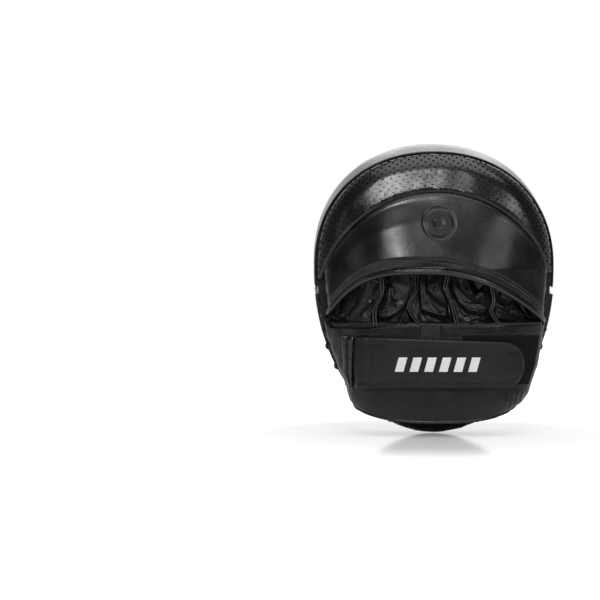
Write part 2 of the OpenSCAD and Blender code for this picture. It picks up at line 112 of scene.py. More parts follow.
def back_edge(t, inset=0):
    return egg(t, BACK_HALF - inset, BACK_TOP - inset, BACK_FOOT + inset, 2.1)


def level(x, z):
    n = np.where(z >= WIDE_Z, 2.15, 2.1)
    h = np.where(z >= WIDE_Z, BACK_TOP - WIDE_Z, WIDE_Z - BACK_FOOT)
    return ((np.abs(x) / BACK_HALF) ** n + (np.abs(z - WIDE_Z) / h) ** n) ** (1 / n)


def cover_depth(x, z):
    x, z = np.asarray(x, float), np.asarray(z, float)
    s = level(x, z)
    rounded = np.sqrt(np.clip(1 - (np.clip((s - 0.84) / 0.16, 0, None)) ** 2, 0, 1))
    across = np.clip(1 - np.clip(np.abs(x) / BACK_HALF, 0, 1) ** 2.4, 0, 1)
    return rounded * (CRESCENT_RISE + HOOD_RISE * np.clip((BACK_TOP - z) / 102, 0, 1) * across)


def hood_seam(x):
    return CENTRE[1] + SEAM_Z * np.sqrt(
        np.clip(1 - ((np.asarray(x, float) - CENTRE[0]) / SEAM_X) ** 2, 0, 1)
    )


def hood_edge(x):
    x = np.asarray(x, float)
    left = 36.5 * (np.clip(HOOD_EDGE_X - x, 0, None) / 86) ** 3.6
    right = 42.2 * (np.clip(x - HOOD_EDGE_X, 0, None) / 104) ** 2.1
    return HOOD_EDGE_Z - np.where(x < HOOD_EDGE_X, left, right)


def side_table(z, table):
    return np.interp(z, [r[0] for r in table], [r[1] for r in table])


def cuff_mid(z):
    return (side_table(z, CUFF_RIGHT) - side_table(z, CUFF_LEFT)) / 2


def cuff_half(z):
    return (side_table(z, CUFF_RIGHT) + side_table(z, CUFF_LEFT)) / 2


def cuff_depth(x, z):
    x, z = np.asarray(x, float), np.asarray(z, float)
    u = np.clip(np.abs(x - cuff_mid(z)) / cuff_half(z), 0, 1)
    crown = CUFF_CROWN - CUFF_DROOP * (np.abs(x) / 85) ** 2.6 - CUFF_FAR
    return CUFF_FAR + crown * np.clip(1 - u**6, 0, 1) ** (1 / 3)


def cuff_foot(u):
    return 12.7 + 14 * np.abs(u) ** 2.6


def strap_under(x):
    return cuff_depth(x, 85) + 1.5 + 1.6 * smooth((np.asarray(x, float) + 25) / 40)


def strap_edge(x, side):
    x = np.asarray(x, float)
    run = (x - STRAP_ROOT_X) / STRAP_STRAIGHT
    low = STRAP_Z + 0.9 * run
    high = STRAP_Z + STRAP_W - 4.3 * run
    q = np.clip((x - STRAP_END_X + STRAP_ROUND) / STRAP_ROUND, 0, 1)
    return (low + high) / 2 + side * (high - low) / 2 * np.clip(1 - q**2.4, 0.0, 1) ** 0.5


def at(x, depth, z):
    """Points in millimetres, at a depth from the back seam's plane towards the hand."""
    x, depth, z = np.broadcast_arrays(
        np.asarray(x, float), np.asarray(depth, float), np.asarray(z, float)
    )
    return np.stack([x, SEAM_BACK - depth, z], -1)


def fbm(points, scale, octaves=3, seed=0.0):
    """Smooth noise about 0 at each point, features about scale millimetres wide."""
    p = np.asarray(points, float)
    flat = p.reshape(-1, 3) / scale + seed
    out = [noise.fractal(Vector(v), 0.8, 2.0, octaves) for v in flat]
    return np.array(out).reshape(p.shape[:-1])


def ridged(points, scale, seed=0.0):
    """Narrow creases: 0 on broad flats, up to 1 along winding lines."""
    p = np.asarray(points, float)
    flat = p.reshape(-1, 3) / scale + seed
    out = [max(0.0, 1 - abs(noise.noise(Vector(v))) * 7) for v in flat]
    return np.array(out).reshape(p.shape[:-1])


# ---- Mesh builders ----


def make(name, solid, slot, node, body=BODY, sharp=40, coat=None):
    """A finished piece that replaces a CAD node. solid is its points in millimetres and its faces.

    coat names a material other than its slot's.
    """
    verts, faces = solid
    mesh = bpy.data.meshes.new(name)
    mesh.from_pydata(
        [tuple(v) for v in np.asarray(verts, float) * MM], [], [list(map(int, f)) for f in faces]
    )
    bm = bmesh.new()
    bm.from_mesh(mesh)
    bmesh.ops.remove_doubles(bm, verts=bm.verts, dist=2e-6)
    bmesh.ops.dissolve_degenerate(bm, dist=1e-7, edges=bm.edges)
    bmesh.ops.recalc_face_normals(bm, faces=bm.faces)
    bm.to_mesh(mesh)
    bm.free()
    mesh.shade_smooth()
    mesh.set_sharp_from_angle(angle=math.radians(sharp))
    obj = bpy.data.objects.new(name, mesh)
    bpy.context.scene.collection.objects.link(obj)
    mesh.materials.append(MATERIALS[coat or slot])
    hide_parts(node)
    if body:
        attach(obj, body)
    return obj


def grid_faces(rows, cols, ring=False, base=0):
    out = []
    for i in range(rows - 1):
        for j in range(cols if ring else cols - 1):
            a, b = base + i * cols + j, base + i * cols + (j + 1) % cols
            out.append((a, b, b + cols, a + cols))
    return out


def bar(G):
    """A closed bar from a grid whose rows run along it, side by side round its section."""
    k, n = G.shape[:2]
    faces = grid_faces(k, n)
    faces += [(j, (k - 1) * n + j, (k - 1) * n + j + 1, j + 1) for j in range(n - 1)]
    faces += [tuple(r * n for r in range(k)), tuple(r * n + n - 1 for r in reversed(range(k)))]
    return G.reshape(-1, 3), faces


def normals(P, ring=False):
    du = np.gradient(P, axis=0)
    if ring:
        dv = (np.roll(P, -1, 1) - np.roll(P, 1, 1)) / 2
    else:
        dv = np.gradient(P, axis=1)
    return unit(np.cross(du, dv))


def shell(outer, inner, ring=False, ends=(True, True)):
    """A closed sheet between two grids of points. ends closes its first and last row."""
    rows, cols = outer.shape[:2]
    n = rows * cols
    verts = np.concatenate([outer.reshape(-1, 3), inner.reshape(-1, 3)])
    faces = grid_faces(rows, cols, ring)
    faces += [tuple(reversed(f)) for f in grid_faces(rows, cols, ring, n)]
    last = cols if ring else cols - 1
    for i in [r for r, end in zip((0, rows - 1), ends) if end]:
        for j in range(last):
            a, b = i * cols + j, i * cols + (j + 1) % cols
            faces.append((a, n + a, n + b, b) if i == 0 else (a, b, n + b, n + a))
    if not ring:
        for i in range(rows - 1):
            for j in (0, cols - 1):
                a, b = i * cols + j, (i + 1) * cols + j
                faces.append((a, b, n + b, n + a) if j == 0 else (a, n + a, n + b, b))
    return verts, faces


def outward(P, away, ring=False):
    """Unit normals of a grid, turned to the side that away points to."""
    n = normals(P, ring)
    flip = np.sign((n * np.asarray(away, float)).sum(-1).mean()) or 1
    return n * flip


def tube(path, radius, sides=10, loop=False, up=(0, 1, 0)):
    """A cord along a path. radius may be one number or one for each point."""
    P = np.asarray(path, float)
    n = len(P)
    r = np.broadcast_to(np.asarray(radius, float), (n,))
    if loop:
        T = np.roll(P, -1, 0) - np.roll(P, 1, 0)
    else:
        T = np.gradient(P, axis=0)
    T = unit(T)
    A = unit(np.cross(T, np.broadcast_to(np.asarray(up, float), (n, 3))))
    B = np.cross(A, T)
    ang = np.arange(sides) * 2 * np.pi / sides
    ring = (
        P[:, None]
        + r[:, None, None] * np.cos(ang)[None, :, None] * A[:, None]
        + r[:, None, None] * np.sin(ang)[None, :, None] * B[:, None]
    )
    verts = ring.reshape(-1, 3)
    faces = []
    for i in range(n if loop else n - 1):
        for k in range(sides):
            a, b = i * sides, ((i + 1) % n) * sides
            m = (k + 1) % sides
            faces.append((a + k, a + m, b + m, b + k))
    if not loop:
        for i, sgn in ((0, -1), (n - 1, 1)):
            cap = P[i] + T[i] * sgn * r[i] * 0.7
            mid = P[i] + T[i] * sgn * r[i] * 0.5 + (ring[i] - P[i]) * 0.72
            base = len(verts)
            verts = np.concatenate([verts, mid, [cap]])
            for k in range(sides):
                m = (k + 1) % sides
                faces.append((i * sides + k, i * sides + m, base + m, base + k))
                faces.append((base + k, base + m, base + sides))
    return verts, faces


def gather(parts):
    verts, faces, base = [], [], 0
    for v, f in parts:
        verts.append(np.asarray(v, float))
        faces += [tuple(base + i for i in g) for g in f]
        base += len(v)
    return np.concatenate(verts), faces


def along(path, step, loop=False):
    """Evenly spaced points, tangents and positions in the path's own index."""
    P = np.asarray(path, float)
    if loop:
        P = np.concatenate([P, P[:1]])
    d = np.concatenate([[0], np.cumsum(np.linalg.norm(np.diff(P, axis=0), axis=1))])
    n = max(2, int(round(d[-1] / step)) + (0 if loop else 1))
    s = np.linspace(0, d[-1], n, endpoint=not loop)
    idx = np.interp(s, d, np.arange(len(P)))
    pts = np.stack([np.interp(s, d, P[:, k]) for k in range(3)], 1)
    ahead = np.stack([np.interp(np.minimum(s + 0.4, d[-1]), d, P[:, k]) for k in range(3)], 1)
    back = np.stack([np.interp(np.maximum(s - 0.4, 0), d, P[:, k]) for k in range(3)], 1)
    return pts, unit(ahead - back), idx


def stitch_row(path, out, pitch=3.0, length=2.3, radius=0.32, loop=False, slant=0.0, lift=0.12):
    """Separate thread stitches along a path. out is the surface's normal, one or one a point."""
    pts, T, idx = along(path, pitch, loop)
    out = np.asarray(out, float)
    if out.ndim == 2:
        if loop:
            out = np.concatenate([out, out[:1]])
        out = np.stack([np.interp(idx, np.arange(len(out)), out[:, k]) for k in range(3)], 1)
    else:
        out = np.broadcast_to(out, pts.shape)
    parts = []
    for p, t, o in zip(pts, T, out):
        o = unit(o)
        d = unit(t + slant * np.cross(t, o))
        q = [
            p + d * length * u + o * (lift - sink)
            for u, sink in ((-0.5, 0.34), (-0.34, 0.06), (0, 0), (0.34, 0.06), (0.5, 0.34))
        ]
        parts.append(tube(q, [radius * 0.6, radius, radius, radius, radius * 0.6], 6, up=o))
    return gather(parts)


def slab(X, Z, base, top_thick, edge_r, lift=None):
    """A strip lying on a surface: X, Z grids of points, base its underside's depth, with rounded edges."""
    rim = np.concatenate([
        np.stack([X[0], Z[0]], -1), np.stack([X[:, -1], Z[:, -1]], -1),
        np.stack([X[-1], Z[-1]], -1)[::-1], np.stack([X[:, 0], Z[:, 0]], -1)[::-1]])
    fine = []
    for a, b in zip(rim, np.roll(rim, -1, 0)):
        k = max(1, int(np.linalg.norm(b - a) / 0.6))
        fine.append(a + (b - a) * (np.arange(k) / k)[:, None])
    fine = np.concatenate(fine)
    Q = np.stack([X, Z], -1).reshape(-1, 2)
    d = np.sqrt(((Q[:, None] - fine[None]) ** 2).sum(-1)).min(1).reshape(X.shape)
    k = np.clip(d / edge_r, 0, 1)
    rise = np.sqrt(np.clip(1 - (1 - k) ** 2, 0, 1))
    top = base + top_thick * (0.25 + 0.75 * rise)
    under = base + top_thick * 0.25 * (1 - rise)
    if lift is not None:
        top = top + lift * k
    return at(X, top, Z), at(X, under, Z), d


def edged(values, lo=0.06, n_edge=5):
    """Adds closely spaced values near both ends of a 0 to 1 range, for rounded edges."""
    e = lo * (np.arange(n_edge) / n_edge) ** 1.6
    return np.concatenate([e, np.linspace(lo, 1 - lo, values), 1 - e[::-1]])


# ---- Materials ----

MATERIALS = {}


class Nodes:
    def __init__(self, name):
        self.mat = bpy.data.materials.new(name)
        self.mat.use_nodes = True
        self.tree = self.mat.node_tree
        self.bsdf = self.tree.nodes["Principled BSDF"]
        self.coord = self.tree.nodes.new("ShaderNodeTexCoord").outputs["Object"]
        MATERIALS[name] = self.mat

    def node(self, kind, **inputs):
        n = self.tree.nodes.new(kind)
        for key, value in inputs.items():
            if key.startswith("p_"):
                setattr(n, key[2:], value)
                continue
            socket = n.inputs[int(key[1:]) if key[0] == "i" and key[1:].isdigit() else key]
            if isinstance(value, bpy.types.NodeSocket):
                self.tree.links.new(value, socket)
            else:
                socket.default_value = value
        return n

    def set(self, name, value):
        if isinstance(value, bpy.types.NodeSocket):
            self.tree.links.new(value, self.bsdf.inputs[name])
        else:
            self.bsdf.inputs[name].default_value = value

    def noise(self, scale, detail=3.0, rough=0.55, vector=None):
        return self.node(
            "ShaderNodeTexNoise", Vector=vector or self.coord, Scale=scale, Detail=detail, Roughness=rough
        )

    def voronoi(self, scale, feature="F1", vector=None, rand=1.0):
        return self.node(
            "ShaderNodeTexVoronoi", p_feature=feature, Vector=vector or self.coord, Scale=scale,
            Randomness=rand
        )

    def ramp(self, fac, lo, hi, a, b):
        n = self.tree.nodes.new("ShaderNodeMapRange")
        n.interpolation_type = "SMOOTHSTEP"
        self.tree.links.new(fac, n.inputs["Value"])
        for key, value in (("From Min", lo), ("From Max", hi), ("To Min", a), ("To Max", b)):
            n.inputs[key].default_value = value
        return n.outputs["Result"]

    def math(self, op, a, b):
        n = self.tree.nodes.new("ShaderNodeMath")
        n.operation = op
        for i, v in enumerate((a, b)):
            if isinstance(v, bpy.types.NodeSocket):
                self.tree.links.new(v, n.inputs[i])
            else:
                n.inputs[i].default_value = v
        return n.outputs[0]

    def colours(self, fac, a, b):
        n = self.tree.nodes.new("ShaderNodeMix")
        n.data_type = "RGBA"
        self.tree.links.new(fac, n.inputs[0])
        n.inputs[6].default_value = (*a, 1)
        n.inputs[7].default_value = (*b, 1)
        return n.outputs[2]

    def bump(self, height, distance, strength=1.0, chain=None):
        n = self.node("ShaderNodeBump", Height=height, Distance=distance, Strength=strength)
        if chain is not None:
            self.tree.links.new(chain, n.inputs["Normal"])
        return n.outputs["Normal"]


def leather(name, dark, light, rough, grain=1.0, pebble=0.00012, crease=0.00010, coat=0.0, spec=0.5):
    """Finished leather: pebbled grain, finer pores and soft creases. grain is its scale."""
    m = Nodes(name)
    warp = m.noise(130 / grain, 2)
    mixed = m.node("ShaderNodeMixRGB", Fac=0.02, Color1=m.coord, Color2=warp.outputs["Color"])
    cells = m.voronoi(900 / grain, "DISTANCE_TO_EDGE", mixed.outputs[0])
    pebbles = m.ramp(cells.outputs["Distance"], 0.0, 0.22, 0.0, 1.0)
    pores = m.noise(2600 / grain, 2)
    folds = m.noise(95 / grain, 5, 0.62)
    n1 = m.bump(folds.outputs["Fac"], crease * 6, 0.5)
    n2 = m.bump(pebbles, pebble, 0.55, n1)
    n3 = m.bump(pores.outputs["Fac"], pebble * 0.5, 0.35, n2)
    m.set("Normal", n3)
    patch = m.noise(38, 4)
    shade = m.ramp(patch.outputs["Fac"], 0.3, 0.72, 0.0, 1.0)
    m.set("Base Color", m.colours(shade, dark, light))
    r1 = m.ramp(patch.outputs["Fac"], 0.25, 0.75, rough - 0.05, rough + 0.06)
    r2 = m.ramp(pebbles, 0.0, 1.0, min(0.06, 500 * pebble), 0.0)
    m.set("Roughness", m.math("ADD", r1, r2))
    m.set("Specular IOR Level", spec)
    if coat:
        m.set("Coat Weight", coat)
        m.set("Coat Roughness", 0.28)
    return m


def wrinkles(m, centre, reach, angle, height):
    """Fine drawn creases about a place: 2 mm apart and six times as long, at an angle from upright."""
    turned = m.node(
        "ShaderNodeMapping", p_vector_type="TEXTURE", Vector=m.coord, Rotation=(0, math.radians(angle), 0),
        Scale=(1, 1, 6)
    )
    lines = m.noise(430, 3, 0.55, turned.outputs[0])
    gap = m.node("ShaderNodeVectorMath", p_operation="DISTANCE", i0=m.coord, i1=centre).outputs["Value"]
    near = m.ramp(gap, reach * 0.25, reach, 1.0, 0.0)
    chain = m.bsdf.inputs["Normal"].links[0].from_socket
    m.set("Normal", m.bump(m.math("MULTIPLY", lines.outputs["Fac"], near), height, 0.8, chain))


def cloth(name, dark, light, scale, height, rough=0.85, sheen=0.3):
    """Woven cloth: crossed threads with uneven shade."""
    m = Nodes(name)
    a = m.node("ShaderNodeTexWave", Vector=m.coord, Scale=scale, Distortion=0.6, p_bands_direction="X")
    b = m.node("ShaderNodeTexWave", Vector=m.coord, Scale=scale, Distortion=0.6, p_bands_direction="Z")
    weave = m.math("MULTIPLY", a.outputs["Fac"], b.outputs["Fac"])
    fuzz = m.noise(1800, 3)
    n1 = m.bump(weave, height, 0.8)
    m.set("Normal", m.bump(fuzz.outputs["Fac"], height * 0.6, 0.4, n1))
    patch = m.noise(160, 4)
    both = m.math("MULTIPLY", m.math("ADD", weave, 0.5), patch.outputs["Fac"])
    m.set("Base Color", m.colours(m.ramp(both, 0.1, 0.8, 0.0, 1.0), dark, light))
    m.set("Roughness", m.ramp(patch.outputs["Fac"], 0.3, 0.7, rough - 0.06, rough + 0.06))
    m.set("Sheen Weight", sheen)
    m.set("Sheen Roughness", 0.5)
    return m


def speckled(name, dark, light, scale, height, rough, spec=0.4, kind="noise"):
    """Moulded, foamed, brushed or printed matter with a fine uneven surface."""
    m = Nodes(name)
    fine = m.voronoi(scale) if kind == "cells" else m.noise(scale, 4)
    fac = fine.outputs["Distance" if kind == "cells" else "Fac"]
    m.set("Normal", m.bump(fac, height, 0.7))
    broad = m.noise(scale / 12, 3)
    m.set(
        "Base Color",
        m.colours(
            m.ramp(m.math("MULTIPLY", fac, m.math("ADD", broad.outputs["Fac"], 0.5)), 0.2, 0.8, 0.0, 1.0),
            dark, light
        )
    )
    m.set("Roughness", m.ramp(broad.outputs["Fac"], 0.3, 0.7, rough - 0.07, rough + 0.07))
    m.set("Specular IOR Level", spec)
    return m


face_grain = leather(
    "face_leather", (0.0065, 0.0065, 0.0070), (0.0115, 0.0115, 0.0120), 0.31, 1.15, 0.00009, 0.00006,
    spec=0.45
)
wrinkles(face_grain, (-0.022, 0.040, 0.070), 0.034, -45, 0.00035)
wrinkles(face_grain, (-0.058, 0.040, 0.160), 0.030, -80, 0.00025)
wrinkles(face_grain, (0.040, 0.040, 0.180), 0.040, 60, 0.00018)
leather(
    "leather_perforated", (0.0056, 0.0056, 0.0058), (0.0088, 0.0088, 0.0092), 0.26, 1.0, 0.000005, 0.000006,
    spec=0.55
)
leather(
    "leather_smooth", (0.0060, 0.0056, 0.0066), (0.0095, 0.0090, 0.0100), 0.27, 0.9, 0.000004, 0.000006,
    spec=0.45
)
leather(
    "leather_soft", (0.0095, 0.0095, 0.0092), (0.0150, 0.0152, 0.0145), 0.33, 0.9, 0.000025, 0.00003,
    spec=0.42
)
leather(
    "strap_leather", (0.0095, 0.0095, 0.0105), (0.0150, 0.0150, 0.0162), 0.37, 0.8, 0.000018, 0.00002,
    spec=0.40
)
leather(
    "leather_trim", (0.0065, 0.0065, 0.0065), (0.0110, 0.0110, 0.0110), 0.28, 0.8, 0.00001, 0.00001,
    spec=0.62
)
# Paler leather for the raised seams' edges: partly the lighter cut edge, partly a painted highlight where
# the edges catch the light
leather("raw_edge_and_sheen", (0.075, 0.076, 0.073), (0.15, 0.152, 0.146), 0.55, 0.8, 0.00003, 0.00003, spec=0.4)
leather("wall_leather", (0.014, 0.014, 0.014), (0.022, 0.022, 0.022), 0.30, 1.0, 0.00002, 0.00002, coat=0.6)
leather("lace_leather", (0.0045, 0.0045, 0.0045), (0.0090, 0.0090, 0.0090), 0.42, 0.7, 0.00003, 0.00003)
leather("target_leather", (0.82, 0.035, 0.020), (0.90, 0.055, 0.032), 0.42, 1.1, 0.00005, 0.00003)
# Black lining cloth, kept this dark partly as its own colour and partly as painted shade for the back
# panel's foot, which lies in shadow behind the cuff
cloth("lining_fabric", (0.004, 0.004, 0.005), (0.011, 0.011, 0.013), 620, 0.00012)
cloth("elastic_web", (0.008, 0.008, 0.009), (0.022, 0.022, 0.024), 900, 0.0001, 0.75)
cloth("black_thread", (0.008, 0.008, 0.009), (0.028, 0.028, 0.030), 2200, 0.00005, 0.6, 0.15)
cloth("red_thread", (0.52, 0.02, 0.015), (0.72, 0.05, 0.04), 2200, 0.00005, 0.6, 0.15)
speckled("loop_fabric", (0.004, 0.004, 0.004), (0.014, 0.014, 0.014), 2400, 0.0004, 0.95, 0.15)
speckled("hook_tape", (0.004, 0.004, 0.004), (0.012, 0.012, 0.012), 1500, 0.0003, 0.6, 0.4, "cells")
speckled("foam", (0.55, 0.50, 0.38), (0.72, 0.68, 0.56), 900, 0.0003, 0.95, 0.1, "cells")
speckled("dense_foam", (0.10, 0.105, 0.11), (0.17, 0.175, 0.18), 1600, 0.0001, 0.9, 0.15, "cells")
speckled("board", (0.03, 0.028, 0.026), (0.06, 0.055, 0.05), 700, 0.0001, 0.8, 0.2)
speckled("eyelet_plastic", (0.045, 0.045, 0.045), (0.080, 0.080, 0.080), 900, 0.00004, 0.35, 0.5)
speckled("mark_ink", (0.006, 0.006, 0.006), (0.014, 0.014, 0.014), 1100, 0.00004, 0.55, 0.3)
speckled("white_print", (0.93, 0.93, 0.94), (0.98, 0.98, 0.98), 800, 0.00004, 0.5, 0.4)

# ---- Striking face ----


def face_height(v):
    mid = mix(DISH, RIM, smooth((v - 0.3) / 0.35))
    rim = RIM * np.cos(np.radians(90 * np.clip((v - 0.65) / 0.35, 0, 1)))
    return np.where(v < 0.3, DISH, np.where(v < 0.65, mid, rim))


def face_grid(ts, vs, inset):
    ex, ez = face_edge(ts)
    ez = ez - TARGET_Z
    edge = np.hypot(ex, ez)[None]
    v = np.asarray(vs)[:, None]
    core = (TARGET_R + 2.3) * v / 0.3
    slope = mix(TARGET_R + 2.3, edge - RIM_W, (v - 0.3) / 0.35)
    rim = edge - RIM_W + RIM_W * np.sin(np.radians(90 * np.clip((v - 0.65) / 0.35, 0, 1)))
    r = np.where(v < 0.3, core, np.where(v < 0.65, slope, rim)) * (1 - inset / edge)
    y = SEAM_FRONT + face_height(v) * (1 - inset / RIM) + 0 * r
    return np.stack([ex / edge * r, y, TARGET_Z + ez / edge * r], -1)


def build_face():
    cols = 300
    ts = np.arange(cols) * 360 / cols
    vs = np.concatenate(
        [np.linspace(0.004, 0.3, 16)[:-1], np.linspace(0.3, 0.65, 56)[:-1], np.linspace(0.65, 1, 44)]
    )
    P = face_grid(ts, vs, 0)
    N = outward(P, (0, 1, 0), True)
    v = vs[:, None]
    x, z = P[..., 0], P[..., 2] - TARGET_Z
    # Soft folds that gather round the target and across the lower half
    around = bell((np.hypot(x, z) - 56) / 16)
    low = smooth((20 - z) / 70)
    folds = ridged(P * (1, 1, 0.45), 15, 3.1) * (0.35 + 0.65 * low)
    fine = ridged(P * (0.6, 1, 1.3), 6.5, 9.7)
    flat = smooth((v - 0.28) / 0.06) * smooth((1 - v) / 0.1)
    lumps = fbm(P, 42, 2, 5.0)
    move = flat * (0.7 * lumps - around * (0.14 * folds + 0.10 * fine) - 0.03 * folds)
    # The target's stitching pulls the leather in
    move -= 0.5 * bell((v - 0.315) / 0.02)
    P = P + N * move[..., None]
    Q = face_grid(ts, vs, SKIN + 0.2)
    verts, faces = shell(P, Q, True, (False, True))
    n = len(vs) * cols
    verts = np.concatenate([verts, [P[0].mean(0), Q[0].mean(0)]])
    for start, k in ((0, 2 * n), (n, 2 * n + 1)):
        faces += [(k, start + (j + 1) % cols, start + j) for j in range(cols)]
    return make("face_leather_skin", (verts, faces), "face_leather", "face_leather")


def disc(profile, centre_y, centre_z, segments=144):
    """Turned shape about the Y axis from (radius, y) pairs. Ends on the axis are closed."""
    a = np.arange(segments) * 2 * np.pi / segments
    parts, faces, rings = [], [], []
    for r, y in profile:
        if r < 1e-6:
            rings.append((len(parts), 1))
            parts.append((0, centre_y + y, centre_z))
        else:
            rings.append((len(parts), segments))
            parts += [(r * math.cos(t), centre_y + y, centre_z + r * math.sin(t)) for t in a]
    for (s0, n0), (s1, n1) in zip(rings, rings[1:]):
        for j in range(segments):
            k = (j + 1) % segments
            if n0 == 1:
                faces.append((s0, s1 + k, s1 + j))
            elif n1 == 1:
                faces.append((s0 + j, s0 + k, s1))
            else:
                faces.append((s0 + j, s0 + k, s1 + k, s1 + j))
    return np.array(parts, float), faces


def build_target():
    y = SEAM_FRONT + DISH + SKIN
    t = SKIN - 0.1
    groove = TARGET_R - 2.6
    prof = [
        (0, 0), (8, 0), (16, 0), (24, 0), (31, 0), (groove - 1.6, 0), (groove - 0.8, -0.12),
        (groove, -0.38), (groove + 0.8, -0.12), (groove + 1.4, 0)
    ]
    prof += [
        (TARGET_R - 0.5, -0.02), (TARGET_R - 0.15, -0.15), (TARGET_R, -0.45), (TARGET_R + 0.1, -t), (0, -t)
    ]
    make("target_patch_disc", disc(prof, y, TARGET_Z), "target_leather", "target_patch")
    a = np.linspace(0, 2 * np.pi, 240, endpoint=False)
    ring = np.stack([groove * np.cos(a), np.full(240, y - 0.2), TARGET_Z + groove * np.sin(a)], -1)
    make(
        "target_stitches", stitch_row(ring, (0, 1, 0), 3.1, 2.5, 0.36, loop=True), "red_thread",
        "target_stitching"
    )
    ring_mark = disc(
        [
            (11.5, 0.02), (11.55, 0.1), (11.8, 0.14), (14.7, 0.14), (14.95, 0.1), (15, 0.02), (15, -0.2),
            (11.5, -0.2), (11.5, 0.02)
        ],
        y, TARGET_Z, 96
    )
    dot = disc([(0, 0.14), (5.2, 0.14), (5.45, 0.1), (5.5, 0.02), (5.5, -0.2), (0, -0.2)], y, TARGET_Z, 64)
    make("target_print", gather([ring_mark, dot]), "mark_ink", "target_mark")


# ---- Seams, side walls and lacing ----

NOTCH = 8
UPPER = (-NOTCH + 1.2, 180 + NOTCH - 1.2)
LOWER = (-NOTCH - 1.2, -180 + NOTCH + 1.2)


def edge_ring(fn, ts, inset, y):
    x, z = fn(ts, inset)
    return np.stack([x, np.broadcast_to(y, x.shape), z], -1)


def wall_sheet(span, cols, rows, inset):
    """Middle surface of the side wall over a span of angles, and its outward directions."""
    ts = np.linspace(*span, cols)
    fx, fz = face_edge(ts)
    bx, bz = back_edge(ts)
    w = np.linspace(0.012, 0.992, rows)[:, None]
    P = np.stack([mix(fx, bx, w), SEAM_FRONT - WALL * w + 0 * fx, mix(fz, bz, w)], -1)
    N = normals(P)
    centre = np.array([0, 0, WIDE_Z])
    radial = P - centre
    radial[..., 1] = 0
    N *= np.sign((N * radial).sum(-1))[..., None]
    # It swells over the fingertips, and most at the foot, where it rests on the floor
    crown = 1.1 + 1.9 * smooth(
        (P[..., 2] - WIDE_Z) / 80
    ) + 2.3 * np.exp(-((P[..., 0] / 52) ** 4)) * (P[..., 2] < 60)
    shape = np.sin(np.pi * w ** np.where(P[..., 2] > WIDE_Z, 0.6, 1.0))
    return P + N * (crown * shape - inset)[..., None], N, w


def wall(name, span, slot, node, pucker):
    cols, rows = 320, 26
    P, N, w = wall_sheet(span, cols, rows, 0)
    waves = np.sin(np.linspace(0, pucker * 2 * np.pi, cols))[None]
    pull = -0.5 * waves * bell((1 - w) / 0.3) * (1 if pucker else 0)
    P = P + N * (pull + 0.3 * fbm(P, 30, 2, 2.2) - 0.10 * ridged(P, 11, 4.4))[..., None]
    parts = [shell(P, P - N * 1.3)]
    if pucker:
        # The lower wall's ends are tucked in under the upper wall
        for start, end in ((-NOTCH - 4, -NOTCH + 4), (180 + NOTCH - 4, 180 + NOTCH + 4)):
            T, M, _ = wall_sheet((start, end), 24, 14, 1.45)
            parts.append(shell(T, T - M * 0.5))
    return make(name, gather(parts), slot, node)


LACE_FROM, LACE_TURNS = -24, 16


def lace_frame(k):
    t = mix(LACE_FROM, -180 - LACE_FROM, np.asarray(k, float))
    p, q = edge_ring(back_edge, t, -0.7, SEAM_BACK + 0.6), edge_ring(back_edge, t, -1.7, SEAM_BACK + 0.6)
    return p, unit(q - p)


